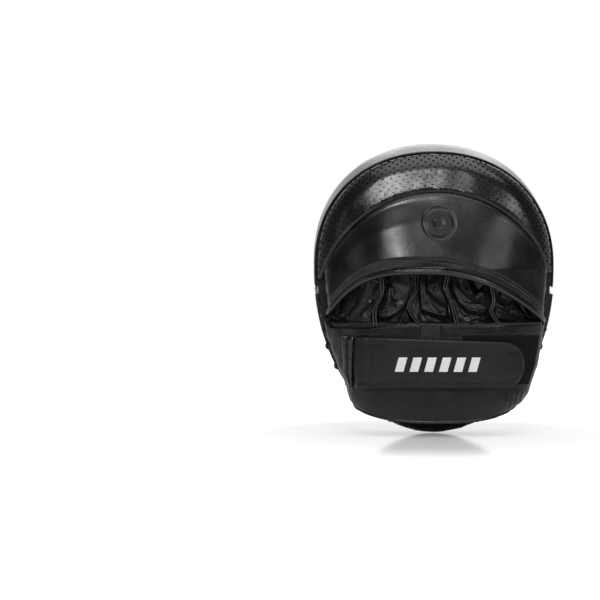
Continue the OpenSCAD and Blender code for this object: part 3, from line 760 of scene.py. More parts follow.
def build_edges():
    wall("side_wall_top", UPPER, "wall_leather", "side_wall_upper", 0)
    wall("side_wall_foot", LOWER, "wall_leather", "side_wall_lower", LACE_TURNS)
    ts = np.linspace(*UPPER, 260)
    make(
        "face_seam_piping", tube(edge_ring(face_edge, ts, 0.55, SEAM_FRONT - 0.9), 0.75, 12),
        "leather_trim", "face_piping"
    )
    make(
        "back_seam_piping", tube(edge_ring(back_edge, ts, -0.3, SEAM_BACK - 0.4), 0.9, 12), "leather_trim",
        "back_piping"
    )
    ts = np.linspace(*LOWER, 220)
    make(
        "face_seam_welt", tube(edge_ring(face_edge, ts, -0.4, SEAM_FRONT - 1.2), 0.85, 8), "leather_trim",
        "face_welt"
    )
    # Two leather edges side by side, drawn together and cockled by the lace
    layers = []
    base = edge_ring(back_edge, ts, 0.4, 0)
    n = unit(edge_ring(back_edge, ts, -1.0, 0) - base)
    phase = (np.asarray(ts) - LACE_FROM) / (-180 - 2 * LACE_FROM) * LACE_TURNS
    pinch = 0.35 * np.cos(2 * np.pi * phase) * ((phase > 0) & (phase < LACE_TURNS))
    for side in (-1, 1):
        rows = []
        short = 1 - 0.55 * np.exp(-((base[:, 0] / 46) ** 6))
        for reach, off in (
            (0.0, 0.15), (1.1, 0.2), (1.9, 0.22), (2.2, 0.35), (2.25, 0.7), (2.0, 1.0), (1.1, 1.15),
            (0.0, 1.2)
        ):
            y = SEAM_BACK + 0.6 + side * (off + 0.25 * (0.4 - pinch))
            rows.append(
                base + n * ((reach + 0.25 * pinch) * short)[:, None] + np.stack([0 * ts, y, 0 * ts], -1)
            )
        layers.append(bar(np.stack(rows)))
    make("lace_flange_edges", gather(layers), "leather_trim", "lace_flange")
    # One lace whipped over the flange
    m = LACE_TURNS * 28
    k = np.linspace(0, 1, m + 1)
    turn = 360 * LACE_TURNS * k
    turn = np.radians(turn - 40 * np.sin(np.radians(turn)))
    p, n = lace_frame(k)
    ref = -np.cos(turn)[:, None] * n + np.sin(turn)[:, None] * np.array([0, 1.0, 0])
    tight = 1 - 0.42 * np.exp(-((p[:, 0] / 46) ** 6))
    width = (1.9 + 0.25 * np.cos(turn)) * tight
    p = p - n * (2.6 * (1 - tight))[:, None]
    make(
        "lace_cord", tube(p + ref * width[:, None], (1.3 + 0.08 * np.sin(turn * 0.37)) * tight, 10, up=ref),
        "lace_leather", "lace"
    )
    parts = []
    for k0, side in ((0.0, 1), (1.0, -1)):
        c = lace_frame(k0)[0] + np.array([side * 0.4, -2.7, 4.6])
        a = np.linspace(0, 2 * np.pi, 49)
        knot = np.stack(
            [np.sin(a) + 1.6 * np.sin(2 * a), 0.75 * np.cos(3 * a), np.cos(a) - 1.6 * np.cos(2 * a)], -1
        )
        parts.append(tube(c + knot[:-1] * 0.72, 0.85, 8, loop=True, up=(0.3, 1, 0.2)))
        tail = c + np.array(
            [[0, 0, 1.2], [side * 0.3, -0.6, 2.2], [side * 0.5, -0.5, 3.3], [side * 0.4, 0.1, 4.2]]
        )
        parts.append(tube(tail, [0.8, 0.8, 0.75, 0.7], 8))
    make("lace_end_knots", gather(parts), "lace_leather", "lace_knots")


# ---- Filling and the back panel ----


def pad_ring(ts, y, inset):
    fx, fz = face_edge(ts, inset)
    bx, bz = back_edge(ts, inset)
    w = (SEAM_FRONT - y) / WALL
    return np.stack([mix(fx, bx, w), np.full_like(fx, y), mix(fz, bz, w)], -1)


def stack(rings):
    G = np.stack(rings)
    rows, cols = G.shape[:2]
    verts = np.concatenate([G.reshape(-1, 3), [G[0].mean(0), G[-1].mean(0)]])
    faces = grid_faces(rows, cols, True)
    n = rows * cols
    faces += [(n, (j + 1) % cols, j) for j in range(cols)]
    faces += [(n + 1, n - cols + j, n - cols + (j + 1) % cols) for j in range(cols)]
    return verts, faces


def build_filling():
    cols = 160
    ts = np.arange(cols) * 360 / cols
    dome = face_grid(ts, np.concatenate([[0.02, 0.15, 0.29], np.linspace(0.32, 1, 22)]), SKIN + 0.6)
    make(
        "foam_front_layer",
        stack(
            [
                *dome, pad_ring(ts, SEAM_FRONT - 1, SKIN + 1.2), pad_ring(ts, 24, SKIN + 0.8),
                pad_ring(ts, 20.3, SKIN + 0.7), pad_ring(ts, 20.2, SKIN + 1.4)
            ]
        ),
        "foam", "front_foam"
    )

    def layer(name, slot, node, top, foot, inset):
        r = 0.5
        rings = [
            pad_ring(ts, top, inset + r), pad_ring(ts, top - 0.15, inset + 0.1),
            pad_ring(ts, top - r, inset)
        ]
        rings += [
            pad_ring(ts, foot + r, inset), pad_ring(ts, foot + 0.15, inset + 0.1),
            pad_ring(ts, foot, inset + r)
        ]
        make(name, stack(rings), slot, node)

    layer("foam_dense_layer", "dense_foam", "dense_foam", 20, 9.2, SKIN + 0.6)
    layer("stiffener_sheet", "board", "stiffener_board", 9, 7, SKIN + 0.8)
    layer("foam_back_layer", "foam", "back_foam", 6.8, SEAM_BACK + 0.2, SKIN + 0.6)


def build_palm():
    cols = 200
    ts = np.arange(cols) * 360 / cols
    rings = []
    for s in np.linspace(1, 0.02, 60):
        x, z = back_edge(ts, 1.4)
        x, z = x * s, WIDE_Z + (z - WIDE_Z) * s
        rings.append(at(x, 1.95 + 0 * x, z))
    G = np.stack(rings)
    quilt = 0.12 * fbm(G, 16, 2, 8.0)
    G[..., 1] -= np.clip(quilt, -0.1, 0.25) - 0.1
    G[:4, :, 1] += np.linspace(0.9, 0, 4)[:, None]
    back = at(*back_edge(ts, 1.6)[:1], 0.02, back_edge(ts, 1.6)[1])
    make("palm_panel_cloth", stack([back, *G]), "lining_fabric", "back_panel")
    a = np.radians(np.arange(96) * 3.75)
    rings, inner = [], []
    lip = math.sqrt(GRIP_R**2 - (GRIP_Y - SEAM_BACK + 1.45) ** 2)
    top_angle = math.asin(lip / GRIP_R)

    def circle(r, share):
        """Ring of a sphere about the grip's centre: its place is a share of the way out from the top."""
        across, down = r * math.sin(top_angle * share), r * math.cos(top_angle * share)
        return np.stack([across * np.cos(a), np.full(96, GRIP_Y - down), GRIP_Z + across * np.sin(a)], -1)

    for k in np.linspace(1, 0.015, 26):
        rings.append(circle(GRIP_R, k))
        inner.append(circle(GRIP_R - 1.1, k))
    R = np.stack(rings)
    R = R + outward(R, (0, -1, 0), True) * (0.25 * fbm(R, 14, 2, 1.0) - 0.22 * ridged(R, 7, 2.0))[..., None]
    I = np.stack(inner)
    I[..., 1] = np.minimum(I[..., 1], R[0, 0, 1])
    v, f = shell(R, I, True, (True, False))
    n = R.shape[0] * 96
    v = np.concatenate([v, [R[-1].mean(0), I[-1].mean(0)]])
    f += [(2 * n, n - 96 + j, n - 96 + (j + 1) % 96) for j in range(96)]
    f += [(2 * n + 1, 2 * n - 96 + (j + 1) % 96, 2 * n - 96 + j) for j in range(96)]
    make("palm_grip_skin", (v, f), "leather_soft", "palm_grip_cover")
    core = [circle(GRIP_R - 1.3, k) for k in np.linspace(0.93, 0.02, 16)]
    for c in core:
        c[:, 1] = np.minimum(c[:, 1], R[0, 0, 1])
    make("palm_grip_foam", stack(core), "foam", "palm_grip_core")


build_face()
build_target()
build_edges()
build_filling()
build_palm()

# ---- Perforated crescent ----


def ray_table():
    """For each direction from the centre: the seam's reach, and the panel's profile to its outer edge."""
    phis = np.radians(np.linspace(12, 168, 313))
    rows = []
    for phi in phis:
        c, s = math.cos(phi), math.sin(phi)
        seam = 1 / math.hypot(c / SEAM_X, s / SEAM_Z) + 0.25
        lo, hi = seam - 30, seam + 60
        for _ in range(40):
            mid = (lo + hi) / 2
            lo, hi = (mid, hi) if level(CENTRE[0] + mid * c, CENTRE[1] + mid * s) < 0.984 else (lo, mid)
        if lo - seam < 1.2:
            continue
        t = 1 - np.cos(np.linspace(0, 1, 50) * np.pi / 2)
        r = seam + (lo - seam) * (1 - t[::-1])
        d = np.maximum(2.9, cover_depth(CENTRE[0] + r * c, CENTRE[1] + r * s))
        # The rim turns down to the back panel
        r, d = np.concatenate([r, np.full(8, r[-1])]), np.concatenate([d, np.linspace(d[-1], 0.5, 9)[1:]])
        run = np.concatenate([[0], np.cumsum(np.hypot(np.diff(r), np.diff(d)))])
        rows.append((phi, seam, r, d, run))
    return rows


RAYS = ray_table()
RAY_PHI = np.array([r[0] for r in RAYS])
RAY_SEAM = np.array([r[1] for r in RAYS])
RAY_LEN = np.array([r[4][-1] for r in RAYS])
RAY_U = np.linspace(0, 1, 60)
RAY_R = np.array([np.interp(RAY_U * r[4][-1], r[4], r[2]) for r in RAYS])
RAY_D = np.array([np.interp(RAY_U * r[4][-1], r[4], r[3]) for r in RAYS])


def wrap(flat):
    """Points of the flat leather blank laid round the padded crescent: positions and shares across it."""
    q = np.asarray(flat, float) - CENTRE
    phi = np.clip(np.arctan2(q[:, 1], q[:, 0]), RAY_PHI[0], RAY_PHI[-1])
    i = np.clip(np.searchsorted(RAY_PHI, phi) - 1, 0, len(RAY_PHI) - 2)
    w = (phi - RAY_PHI[i]) / (RAY_PHI[i + 1] - RAY_PHI[i])
    u = (
        np.hypot(q[:, 0], q[:, 1]) - mix(RAY_SEAM[i], RAY_SEAM[i + 1], w)
    ) / mix(RAY_LEN[i], RAY_LEN[i + 1], w)
    k = np.clip(u, 0, 1) * 59
    k0 = np.minimum(k.astype(int), 58)
    f = k - k0

    def look(T):
        a = mix(T[i, k0], T[i, k0 + 1], f)
        b = mix(T[i + 1, k0], T[i + 1, k0 + 1], f)
        return mix(a, b, w)

    r, d = look(RAY_R), look(RAY_D)
    return at(CENTRE[0] + r * np.cos(phi), d, CENTRE[1] + r * np.sin(phi)), u


def build_crescent():
    def ray_line(reach):
        """Points of the flat blank on every ray, at their distances from the centre."""
        return CENTRE + np.stack([np.cos(RAY_PHI), np.sin(RAY_PHI)], -1) * reach[:, None]

    border = np.concatenate([ray_line(RAY_SEAM), ray_line(RAY_SEAM + RAY_LEN)[::-1]])
    # The holes stand in slanted rows: first hole, and the two steps from hole to hole
    first, a, b = np.array([1, 190]), np.array([3.86, -2.49]), np.array([-3.09, -3.86])
    span = range(-60, 61)
    lattice = np.array([first + i * a + j * b for i in span for j in span])
    half = np.array([first + (i + 0.5) * a + (j + 0.5) * b for i in span for j in span])

    def inside(points, margin):
        q = points - CENTRE
        phi = np.arctan2(q[:, 1], q[:, 0])
        rho = np.hypot(q[:, 0], q[:, 1])
        s, n = np.interp(phi, RAY_PHI, RAY_SEAM), np.interp(phi, RAY_PHI, RAY_LEN)
        ok = (phi > RAY_PHI[0]) & (phi < RAY_PHI[-1])
        return ok & (rho > s + margin) & (rho < s + n - margin - 1.8)

    holes = lattice[inside(lattice, 2.6)]
    fill = np.concatenate([half[inside(half, 2.4)], lattice[inside(lattice, 1.3) & ~inside(lattice, 2.6)]])
    rim = [ray_line(RAY_SEAM + RAY_LEN - back) for back in (0.8, 1.6, 2.3, 3.1)]
    rim += [ray_line(RAY_SEAM + on) for on in (0.6, 1.2, 1.9)]
    fill = np.concatenate([fill, *rim])
    sides, hole_r = 10, 1.1
    ang = np.arange(sides) * 2 * np.pi / sides
    rims = holes[:, None] + hole_r * np.stack([np.cos(ang), np.sin(ang)], -1)
    pts = np.concatenate([border, rims.reshape(-1, 2), fill])
    nb = len(border)
    edges = [(i, (i + 1) % nb) for i in range(nb)]
    for h in range(len(holes)):
        s0 = nb + h * sides
        edges += [(s0 + k, s0 + (k + 1) % sides) for k in range(sides)]
    out = geometry.delaunay_2d_cdt([Vector(p) for p in pts], edges, [], 1, 1e-5)
    flat = np.array([v[:] for v in out[0]])
    tris = [list(t) for t in out[2]]
    P, u = wrap(flat)
    eps = 0.4
    px, _ = wrap(flat + [eps, 0])
    pz, _ = wrap(flat + [0, eps])
    N = unit(np.cross(px - P, pz - P))
    away = unit(P * (1, 0, 1) - (CENTRE[0], 0, CENTRE[1]))
    N *= np.where((N * (away - (0, 1, 0))).sum(1) < 0, -1, 1)[:, None]
    blend_n = smooth((1 - u) / 0.03)[:, None]
    N = unit(N * blend_n + (1 - blend_n) * away)
    rise = 0.5 * fbm(P, 34, 2, 1.5) - 0.08 * ridged(P, 13, 6.1)
    length = np.interp(np.arctan2(flat[:, 1] - CENTRE[1], flat[:, 0] - CENTRE[0]), RAY_PHI, RAY_LEN)
    rise -= 1.1 * bell(u * length / 2.1) - 0.15 * bell((u * length - 3.2) / 1.6)
    P = P + N * (rise * smooth((1 - u) / 0.08))[:, None]
    mids = flat[np.array(tris)].mean(1)
    cell = {}
    for i, c in enumerate(holes):
        cell.setdefault((int(c[0] // 4), int(c[1] // 4)), []).append(i)

    def hole_of(m):
        for dx in (-1, 0, 1):
            for dz in (-1, 0, 1):
                for i in cell.get((int(m[0] // 4) + dx, int(m[1] // 4) + dz), ()):
                    if math.hypot(*(m - holes[i])) < hole_r:
                        return i
        return -1

    owner = [hole_of(m) for m in mids]
    n = len(P)
    verts = np.concatenate([P, P - N * 0.95, P - N * 1.4])
    faces = []
    seen = {}
    for t, o in zip(tris, owner):
        faces.append((t[2] + 2 * n, t[1] + 2 * n, t[0] + 2 * n))
        if o < 0:
            faces.append(tuple(t))
            for k in range(3):
                e = (t[k], t[(k + 1) % 3])
                seen[e] = True
        else:
            faces.append(tuple(i + n for i in t))
    for (a0, b0) in list(seen):
        if (b0, a0) not in seen:
            drop = n if hole_of((flat[a0] + flat[b0]) / 2) >= 0 else 2 * n
            faces.append((b0, a0, a0 + drop, b0 + drop))
    used = sorted({i for f in faces for i in f})
    index = {i: k for k, i in enumerate(used)}
    solid = verts[used], [[index[i] for i in f] for f in faces]
    panel = make("crescent_leather", solid, "leather_perforated", "perforated_panel", sharp=55)
    # The bottom of each hole gets the dark, matte lining cloth: partly the cloth behind the leather, partly
    # painted shade down in the hole
    panel.data.materials.append(MATERIALS["lining_fabric"])
    bottom = {tuple(np.round(v, 6)) for v in (verts[n : 2 * n] * MM).astype(np.float32)}
    low = np.array([tuple(np.round(v.co, 6)) in bottom for v in panel.data.vertices])
    for polygon in panel.data.polygons:
        polygon.material_index = int(all(low[i] for i in polygon.vertices))
    # Padding under the leather
    vs = np.linspace(0, 1, 26)
    sel = [i for i in range(len(RAYS)) if RAY_LEN[i] > 7][::3]
    G = []
    for i in sel:
        k = vs * (1 - 7 / max(RAY_LEN[i], 12)) * 59
        k0 = np.minimum(k.astype(int), 58)
        r, d = mix(RAY_R[i, k0], RAY_R[i, k0 + 1], k - k0), mix(RAY_D[i, k0], RAY_D[i, k0 + 1], k - k0)
        r = r - 1.6 * vs
        x, z = CENTRE[0] + r * math.cos(RAY_PHI[i]), CENTRE[1] + r * math.sin(RAY_PHI[i])
        G.append(at(x, np.maximum(2.4, d - 2.0), z))
    G = np.stack(G)
    B = G.copy()
    B[..., 1] = SEAM_BACK - 1.65
    make("crescent_foam", shell(G, B), "foam", "crescent_padding")


# ---- Hood ----


def hood_xz(k, v):
    x0, x1 = mix(-97.5, 99, k), mix(-93.5, 95.5, k)
    x = mix(x0, x1, v)
    return x, mix(hood_seam(x0) - 0.25, hood_edge(x1) - 0.2, v)


# How steeply the padded hood leans across the hand: it swells at one side and lies flat in the middle
SAG_SLOPES = [
    (-96, 0.16), (-78, 0.14), (-62, 0.08), (-51, 0.03), (-44, -0.05), (-36, -0.085), (-24, -0.10),
    (-5, -0.075),
    (12, -0.05), (30, -0.015), (40, 0.0), (58, 0.03), (72, 0.02), (84, -0.03), (97, -0.04),
]
SAG_X = np.linspace(-96, 97, 194)
SAG_H = np.cumsum(np.interp(SAG_X, *zip(*SAG_SLOPES))) * (SAG_X[1] - SAG_X[0])


def hood_sag(x, v):
    return np.interp(x, SAG_X, SAG_H) * smooth(v * 2.2) * smooth((1 - v) / 0.14)


def hood_dive(k, x, z):
    """The hood's two ends are drawn down to the back panel's seam."""
    t = np.clip(1 - np.minimum(k, 1 - k) / 0.020, 0, 1)
    return (cover_depth(x, z) - 0.9) * (1 - np.sqrt(1 - t**2))


# Shares of the way down the hood at which its two rows of stitching run, and the emblem's middle
HOOD_SEAMS, EMBLEM_X, EMBLEM_Z = (0.925, 0.875), 2, 182


def hood_relief(x, z, v):
    """Height over the CAD's hood: seam groove, soft swells and a plain embossed ring and dot."""
    run = hood_seam(x) - z
    h = -1.3 * bell(run / 1.5) + 0.25 * bell((run - 3.2) / 1.6)
    r = np.hypot(x - EMBLEM_X, z - EMBLEM_Z)
    h = h - 0.45 * (smooth((r - 11.4) / 1.1) - smooth((r - 14.0) / 1.1))
    h = h - 0.45 * (1 - smooth((r - 4.0) / 1.1))
    return h * smooth((1 - v) / 0.04 + 0.2) + hood_sag(x, v)


def build_hood():
    k = np.linspace(0, 1, 330)[None]
    v = np.linspace(0, 1, 120)[:, None]
    x, z = hood_xz(k, v)
    P = at(x, cover_depth(x, z) + 0.35 - hood_dive(k, x, z), z)
    N = outward(P, (0, -1, 0))
    h = hood_relief(x, z, v) + 0.35 * fbm(P, 40, 2, 0.5) - 0.02 * ridged(P, 17, 3.3)
    side = smooth((np.abs(x) - 62) / 30)
    h = h - side * 0.16 * ridged(P * (1, 1, 0.5), 14, 8.8)
    h = h - 0.18 * sum(bell((v - row) / 0.012) for row in HOOD_SEAMS)
    P = P + N * h[..., None]
    make("hood_panel", shell(P, P - N * 1.3), "leather_smooth", "hood_outer")
    parts = []
    for row in HOOD_SEAMS:
        i = int(round(row * 119))
        parts.append(stitch_row(P[i, 14:-14], N[i, 14:-14], 3.0, 2.2, 0.34, slant=0.25, lift=0.1))
    make("hood_stitches", gather(parts), "black_thread", "hood_stitching")
    k = np.linspace(0.03, 0.97, 110)[None]
    v = np.linspace(0.05, 0.985, 40)[:, None]
    x, z = hood_xz(k, v)
    base = cover_depth(x, z)
    for name, slot, node, top, foot, pad in (
        ("hood_foam", "foam", "hood_padding", 1.15, 3.6, 0.9),
        ("hood_lining_cloth", "lining_fabric", "hood_lining", 3.8, 4.6, None)
    ):
        soft = 0.25 * fbm(at(x, base, z), 15, 2, 4.0) if pad is None else 0
        swell = hood_sag(x, v) if pad else 0
        make(name, shell(at(x, base - top + swell, z), at(x, base - foot - soft, z)), slot, node)
    # Binding: leather rolled over the raw edge, with its own stitched groove
    n = 330
    k = np.linspace(0, 1, n)
    x, z = hood_xz(k, 1.0)
    line = at(x, cover_depth(x, z) - 1.6 - 0.8 * hood_dive(k, x, z), z - 2.9)
    T = unit(np.gradient(line, axis=0))
    out = np.cross(T, [0, 0, 1.0])
    out = unit(out * np.sign(-out[:, 1:2]))
    upv = np.cross(out, T)
    upv *= np.sign(upv[:, 2:3])
    sides = 22
    ang = np.arange(sides) * 2 * np.pi / sides
    rad_o = 1.9 - 0.35 * bell((np.sin(ang) - 0.25) / 0.22) * (np.cos(ang) > 0)
    G = []
    wrinkle = fbm(line, 5, 2, 7.7)
    for a, ro in zip(ang, rad_o):
        G.append(
            line + out * (ro * math.cos(a) * (1 + 0.05 * wrinkle))[:, None]
            + upv * (2.75 * math.sin(a) * (1 + 0.03 * wrinkle))[:, None]
        )
    G = np.stack(G, 1)
    verts = G.reshape(-1, 3)
    faces = grid_faces(n, sides, True)
    verts = np.concatenate([verts, [line[0] - T[0] * 1.2, line[-1] + T[-1] * 1.2]])
    faces += [(n * sides, (j + 1) % sides, j) for j in range(sides)]
    faces += [(n * sides + 1, (n - 1) * sides + j, (n - 1) * sides + (j + 1) % sides) for j in range(sides)]
    make("hood_edge_binding", (verts, faces), "leather_trim", "hood_binding")


# ---- Finger stalls ----

STALL_TIP = [160, 178, 186, 180, 152]
FOOT_Z = 92.8
# Lines of the raised seams between the fingers: height, then place across, and how far they stand out
FIN_PATHS = [
    [
        (92, -52.7), (101, -52.9), (109, -52.2), (115, -49.6), (121, -46.6), (128, -46.2), (138, -47.2),
        (160, -50)
    ],
    [
        (92, -15.2), (97, -16.4), (104, -20.6), (110, -23.6), (115, -22.6), (120, -19.4), (126, -16.4),
        (140, -15.8), (160, -17)
    ],
    [
        (92, 16.9), (100, 16.4), (108, 15.0), (115, 12.8), (121, 10.2), (127, 7.4), (132, 8.8), (138, 10.4),
        (160, 15)
    ],
    [
        (92, 53.2), (98, 51.6), (103, 48.6), (107, 46.8), (112, 48.8), (117, 49.8), (125, 48.4),
        (132, 47.4), (160, 50)
    ],
]


def fin_x(i, z):
    """Place of seam i across the hand. The outermost two are the stalls' outer sides."""
    z = np.asarray(z, float)
    if i == 0:
        return np.interp(z, [92, 110, 130, 160], [-91, -90, -87, -84])
    if i == 5:
        return np.interp(z, [92, 110, 130, 160], [91.5, 90, 87, 84])
    path = np.array(FIN_PATHS[i - 1], float)
    zz = np.linspace(88, 170, 165)
    xx = np.interp(zz, path[:, 0], path[:, 1])
    kernel = np.array([1, 3, 5, 3, 1]) / 13
    soft = np.convolve(np.pad(xx, 2, mode="edge"), kernel, "valid")
    return np.interp(z, zz, soft)


def stall_depth(x, z):
    under_hood = cover_depth(x, z) - 8.6
    return mix(cuff_depth(x, 95) - 1.2, np.minimum(30 - 0.12 * (z - 94), under_hood), smooth((z - 94) / 26))


def flap(outline, height, soft, x, z):
    """A flat of leather raised inside an outline, with a rolled edge."""
    away = np.full(np.shape(x), 1e9)
    inside = np.zeros(np.shape(x), bool)
    for (ax, az), (bx, bz) in zip(outline, outline[1:] + outline[:1]):
        t = np.clip(((x - ax) * (bx - ax) + (z - az) * (bz - az)) / ((bx - ax) ** 2 + (bz - az) ** 2), 0, 1)
        away = np.minimum(away, np.hypot(x - ax - t * (bx - ax), z - az - t * (bz - az)))
        if az != bz:
            inside ^= ((az > z) != (bz > z)) & (x < (bx - ax) * (z - az) / (bz - az) + ax)
    return height * smooth(0.5 + np.where(inside, away, -away) / soft)


def crease(x, z, cx, cz, length, width, height, tilt):
    """A raised fold: its middle, half length, half width, height and angle from level."""
    a = math.radians(tilt)
    u = ((x - cx) * math.cos(a) + (z - cz) * math.sin(a)) / length
    w = (-(x - cx) * math.sin(a) + (z - cz) * math.cos(a)) / width
    return height * np.exp(-(u**4) - w**2)


# Flats that the folds of each finger make: outline, height and width of the rolled edge
FLAPS = [
    [([(-85, 103), (-82, 117), (-72, 131), (-56, 145), (-54, 122), (-57, 103), (-68, 98)], 3.0, 9)],
    [
        (
            [
                (-43.5, 152), (-22.5, 152), (-21.7, 130), (-27.5, 114), (-33, 107), (-41, 101.6),
                (-50, 101.2), (-50.6, 106), (-44, 117), (-41.5, 130)
            ],
            8.6, 4.0
        )
    ],
    [([(-16.5, 152), (-9.6, 152), (-8.6, 125), (9.2, 110), (9.7, 102), (-3.6, 106.3), (-13.2, 108.6),
        (-14, 125)], 8.4, 2.6),
        ([(-9, 152), (12, 152), (10, 128), (9, 113), (-2, 120), (-9, 127)], 4.2, 4.0)],
    [
        (
            [
                (13, 152), (27.5, 152), (28.5, 139), (35, 125.5), (41, 125.5), (46.5, 134), (47.4, 109),
                (41, 104.6), (28, 107.6), (19.3, 115), (14.5, 126)
            ],
            8.8, 4.5
        )
    ],
    [([(55, 152), (76, 136), (80, 118), (66, 114), (56, 120)], 4.5, 7)],
]
CREASES = [
    [(-68, 112, 12, 2.6, 1.2, 55)],
    [
        (-42, 113.5, 7, 1.1, 1.3, 28), (-43, 110, 7.5, 1.0, 1.2, 22), (-37, 116.5, 6, 1.0, 1.0, 34),
        (-44, 106.5, 5, 1.0, 0.9, 16), (-40, 96.5, 12, 2.0, 1.8, -3), (-31, 98.5, 4, 1.4, 2.2, 42)
    ],
    [
        (-13, 131, 1.6, 12, 1.6, 3), (0.5, 117, 10, 1.5, 1.6, -41), (0, 97.5, 12, 1.8, 1.6, 3),
        (3, 100, 7, 1.2, 1.2, -20)
    ],
    [
        (27, 121, 10, 2.0, 1.4, -38), (33, 114, 12, 2.0, 1.0, -16), (41, 128, 6, 1.5, 1.6, 62),
        (24, 98.5, 12, 2.4, 2.2, -6), (39, 100.5, 7, 1.6, 1.8, 12)
    ],
    [
        (64, 106, 15, 1.8, 3.6, -14), (61, 102.2, 11, 1.5, 3.2, -6), (70, 111, 15, 1.9, 3.2, -34),
        (77, 113, 14, 1.8, 3.2, -56), (84, 109, 12, 1.6, 2.8, -68), (62, 113, 9, 1.8, 2.4, 6)
    ],
]


def stall_form(i, x, z):
    """Depth added to a stall by the leather's folds."""
    h = 0
    for outline, height, soft in FLAPS[i]:
        h = np.maximum(h, flap(outline, height, soft, x, z))
    return h + sum(crease(x, z, *fold) for fold in CREASES[i])


def stall_grid(i):
    """Closed arch over one finger: its surface, and which points are sewn down."""
    rows, cols = 84, 64
    tip = STALL_TIP[i]
    zs = np.concatenate(
        [
            np.linspace(FOOT_Z, tip - 16, rows - 14),
            tip - 16 + 15.7 * np.sin(np.radians(np.linspace(0, 90, 15)[1:]))
        ]
    )
    close = np.concatenate(
        [np.ones(rows - 14), np.maximum(0.14, np.cos(np.radians(np.linspace(0, 90, 15)[1:])))]
    )
    u = np.linspace(0, 1, cols)
    P = np.zeros((rows, cols, 3))
    wall_share = 0.15
    for r, (z, c) in enumerate(zip(zs, close)):
        x0, x1 = fin_x(i, z) + 1.35, fin_x(i + 1, z) - 1.35
        mid, half = (x0 + x1) / 2, (x1 - x0) / 2
        w = np.clip((u - wall_share) / (1 - 2 * wall_share), 0, 1)
        x = mid + (2 * w - 1) * half * c
        top = stall_depth(x, z)
        valley = np.maximum(4.0, np.minimum(top - 8.5, 17.0))
        out = smooth((z - 95) / 5)
        valley = mix(top - 1.5, valley, out)
        arch = np.clip(1 - np.abs(2 * w - 1) ** 3.2, 0, 1) ** 0.6
        form = np.clip(stall_form(i, x, z), -2, 12)
        depth = valley + (top - 10 - valley + form) * arch
        depth = np.minimum(np.maximum(depth, mix(top - 1.5, valley, out)), cover_depth(x, z) - 5.4)
        depth = mix(2.2, depth, c)
        rise = np.clip(np.minimum(u, 1 - u) / wall_share, 0, 1)
        P[r] = at(x, 2.0 + (depth - 2.0) * smooth(rise) ** 0.8, z)
    pins = np.zeros((rows, cols), bool)
    k = int(cols * wall_share) + 1
    pins[:, :k] = pins[:, -k:] = True
    pins[:3] = True
    pins[-16:] = True
    return P, pins


def crumple(P, pins, grow, frames=26):
    """Lets the loose leather buckle between its sewn edges, by a cloth simulation at 20 times size."""
    rows, cols = P.shape[:2]
    scale = 0.02
    mesh = bpy.data.meshes.new("loose")
    mesh.from_pydata([tuple(v) for v in P.reshape(-1, 3) * scale], [], grid_faces(rows, cols))
    obj = bpy.data.objects.new("loose", mesh)
    bpy.context.scene.collection.objects.link(obj)
    group = obj.vertex_groups.new(name="pin")
    group.add([int(i) for i in np.flatnonzero(pins.reshape(-1))], 1.0, "REPLACE")
    mod = obj.modifiers.new("cloth", "CLOTH")
    s = mod.settings
    s.quality = 8
    s.mass = 0.25
    s.tension_stiffness = s.compression_stiffness = 30
    s.shear_stiffness = 18
    s.bending_stiffness = 1.2
    s.air_damping = 3
    s.vertex_group_mass = "pin"
    s.shrink_min = s.shrink_max = -grow
    s.effector_weights.gravity = 0.25
    mod.collision_settings.use_collision = False
    mod.point_cache.frame_start, mod.point_cache.frame_end = 1, frames
    scene = bpy.context.scene
    for frame_no in range(1, frames + 1):
        scene.frame_set(frame_no)
    done = obj.evaluated_get(bpy.context.evaluated_depsgraph_get())
    Q = np.array([v.co for v in done.data.vertices]).reshape(P.shape) / scale
    bpy.data.objects.remove(obj)
    bpy.data.meshes.remove(mesh)
    scene.frame_set(1)
    move = Q - P
    far = np.linalg.norm(move, axis=-1, keepdims=True)
    return P + move * np.minimum(1, 6.0 / np.maximum(far, 1e-6))


STALL_NAMES = ["little", "ring", "middle", "index", "thumb"]
# Share by which each finger's leather is too large for its frame, so that it buckles
STALL_GROW = [0.02, 0.035, 0.025, 0.03, 0.08]
VENTS = [(-6.9, 112.5, 2), (28.3, 102.0, 3)]
vent_spots = []


def refine(P):
    """One smooth doubling of a grid in both directions."""
    def double(A):
        rows = A.shape[0]
        out = np.empty((2 * rows - 1, *A.shape[1:]))
        out[0::2] = A
        pad = np.concatenate([A[:1] * 2 - A[1:2], A, A[-1:] * 2 - A[-2:-1]])
        out[1::2] = (-pad[:-3] + 9 * pad[1:-2] + 9 * pad[2:-1] - pad[3:]) / 16
        return out
    return np.swapaxes(double(np.swapaxes(double(P), 0, 1)), 0, 1)


